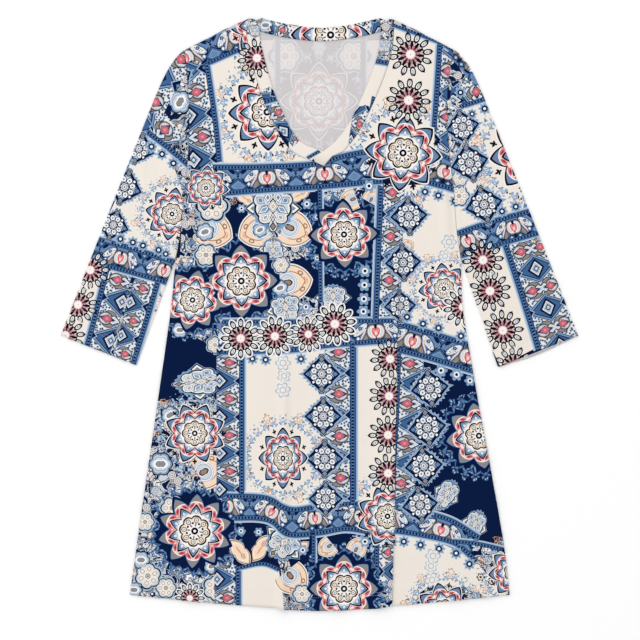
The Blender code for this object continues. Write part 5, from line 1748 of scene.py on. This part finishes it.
def makeStitches(name, piece, rows):
    # each row is a line of points over the piece; the thread lies where the cloth is straight below them
    surface = BVHTree.FromObject(piece, bpy.context.evaluated_depsgraph_get())
    points, edges = [], []
    for row in rows:
        before = None
        for x, y in row:
            hit = surface.ray_cast(Vector((x * mm, y * mm, stitching["above"] * mm)), Vector((0, 0, -1)))[0]
            if hit is None:
                before = None
                continue
            points.append(hit)
            if before is not None and abs(points[before].z - hit.z) < stitching["step"] * mm:
                edges.append((before, len(points) - 1))
            before = len(points) - 1
    path = bpy.data.meshes.new(name + "Path")
    path.from_pydata(points, edges, [])
    sewn = addObject(name + "Path", path)
    modifier = sewn.modifiers.new("stitches", "NODES")
    modifier.node_group = stitchTree
    named = {item.name: item.identifier for item in stitchTree.interface.items_tree if item.in_out == "INPUT"}
    modifier[named["Pitch"]] = stitching["pitch"] * mm
    modifier[named["Stitch length"]] = stitching["length"] * mm
    modifier[named["Thread"]] = stitching["thread"] * mm
    modifier[named["Material"]] = thread
    sewn.update_tag()
    real = bpy.data.meshes.new_from_object(sewn.evaluated_get(bpy.context.evaluated_depsgraph_get()))
    bpy.data.objects.remove(sewn)
    real.name = name
    print("made", name, len(real.polygons), "faces")
    return addObject(name, real)


def hemRows():
    height = bodySides[0].height
    x = np.arange(sideX(height, "left") + 4, sideX(height, "right") - 3, 1.4)
    return [np.column_stack([x, hemHeight(x) + depth]) for depth in stitching["depths"]]


def cuffRows(side):
    edges = sleeveFrame(side)
    length = np.linalg.norm(sleevePlace(edges, 1.0, 0.5) - sleevePlace(edges, 0.0, 0.5))
    return [
        [sleevePlace(edges, 1 - depth / length, across) for across in np.linspace(0.02, 0.98, 80)]
        for depth in stitching["depths"]
    ]


stitchTree = makeStitchTree()
thread = makeThread()
stitches = {"front_panel": makeStitches("hemStitches", front, hemRows())}
for side in ("left", "right"):
    node = "sleeve_" + side
    stitches[node] = makeStitches("cuffStitches" + side.title(), sleeves[node], cuffRows(side))

# Frame: each piece and its stitches ride on the root in place of its solid part; the table's slot, flat size
# and area are not used here
dressed = {
    "front_panel": (front, "printed_jersey", (0.62, 0.88), 0.381),
    "back_panel": (back, "back_jersey", (0.57, 0.88), 0.390),
    "sleeve_left": (sleeves["sleeve_left"], "printed_jersey", (0.25, 0.47), 0.083),
    "sleeve_right": (sleeves["sleeve_right"], "printed_jersey", (0.25, 0.47), 0.087),
    "neckband_back": (bands["neckband_back"], "neckband_jersey", (0.20, 0.021), 0.0040),
    "neckband_front_left": (bands["neckband_front_left"], "neckband_jersey", (0.26, 0.022), 0.0050),
    "neckband_front_right": (bands["neckband_front_right"], "neckband_jersey", (0.25, 0.022), 0.0047),
}
for node, (piece, slot, flatSize, area) in dressed.items():
    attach(piece, "root")
    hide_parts(node)
    sewnOn = [stitches[node]] if node in stitches else []
    for sewn in sewnOn:
        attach(sewn, "root")

floorMesh = bpy.data.meshes.new("paleFloor")
half = studio["floorSide"] / 2
corners = [(x * half, y * half, -studio["floorDrop"]) for x, y in ((-1, -1), (1, -1), (1, 1), (-1, 1))]
floorMesh.from_pydata(corners, [], [range(4)])
# matt white paper, so the light falls off softly
backdrop = openMaterial("paleBackdropPaper", {"Base Color": linear("FFFFFF"), "Roughness": 0.95})[0]
floorMesh.materials.append(backdrop)
floor = addObject("paleFloor", floorMesh)

print("pieces ride on the frame")
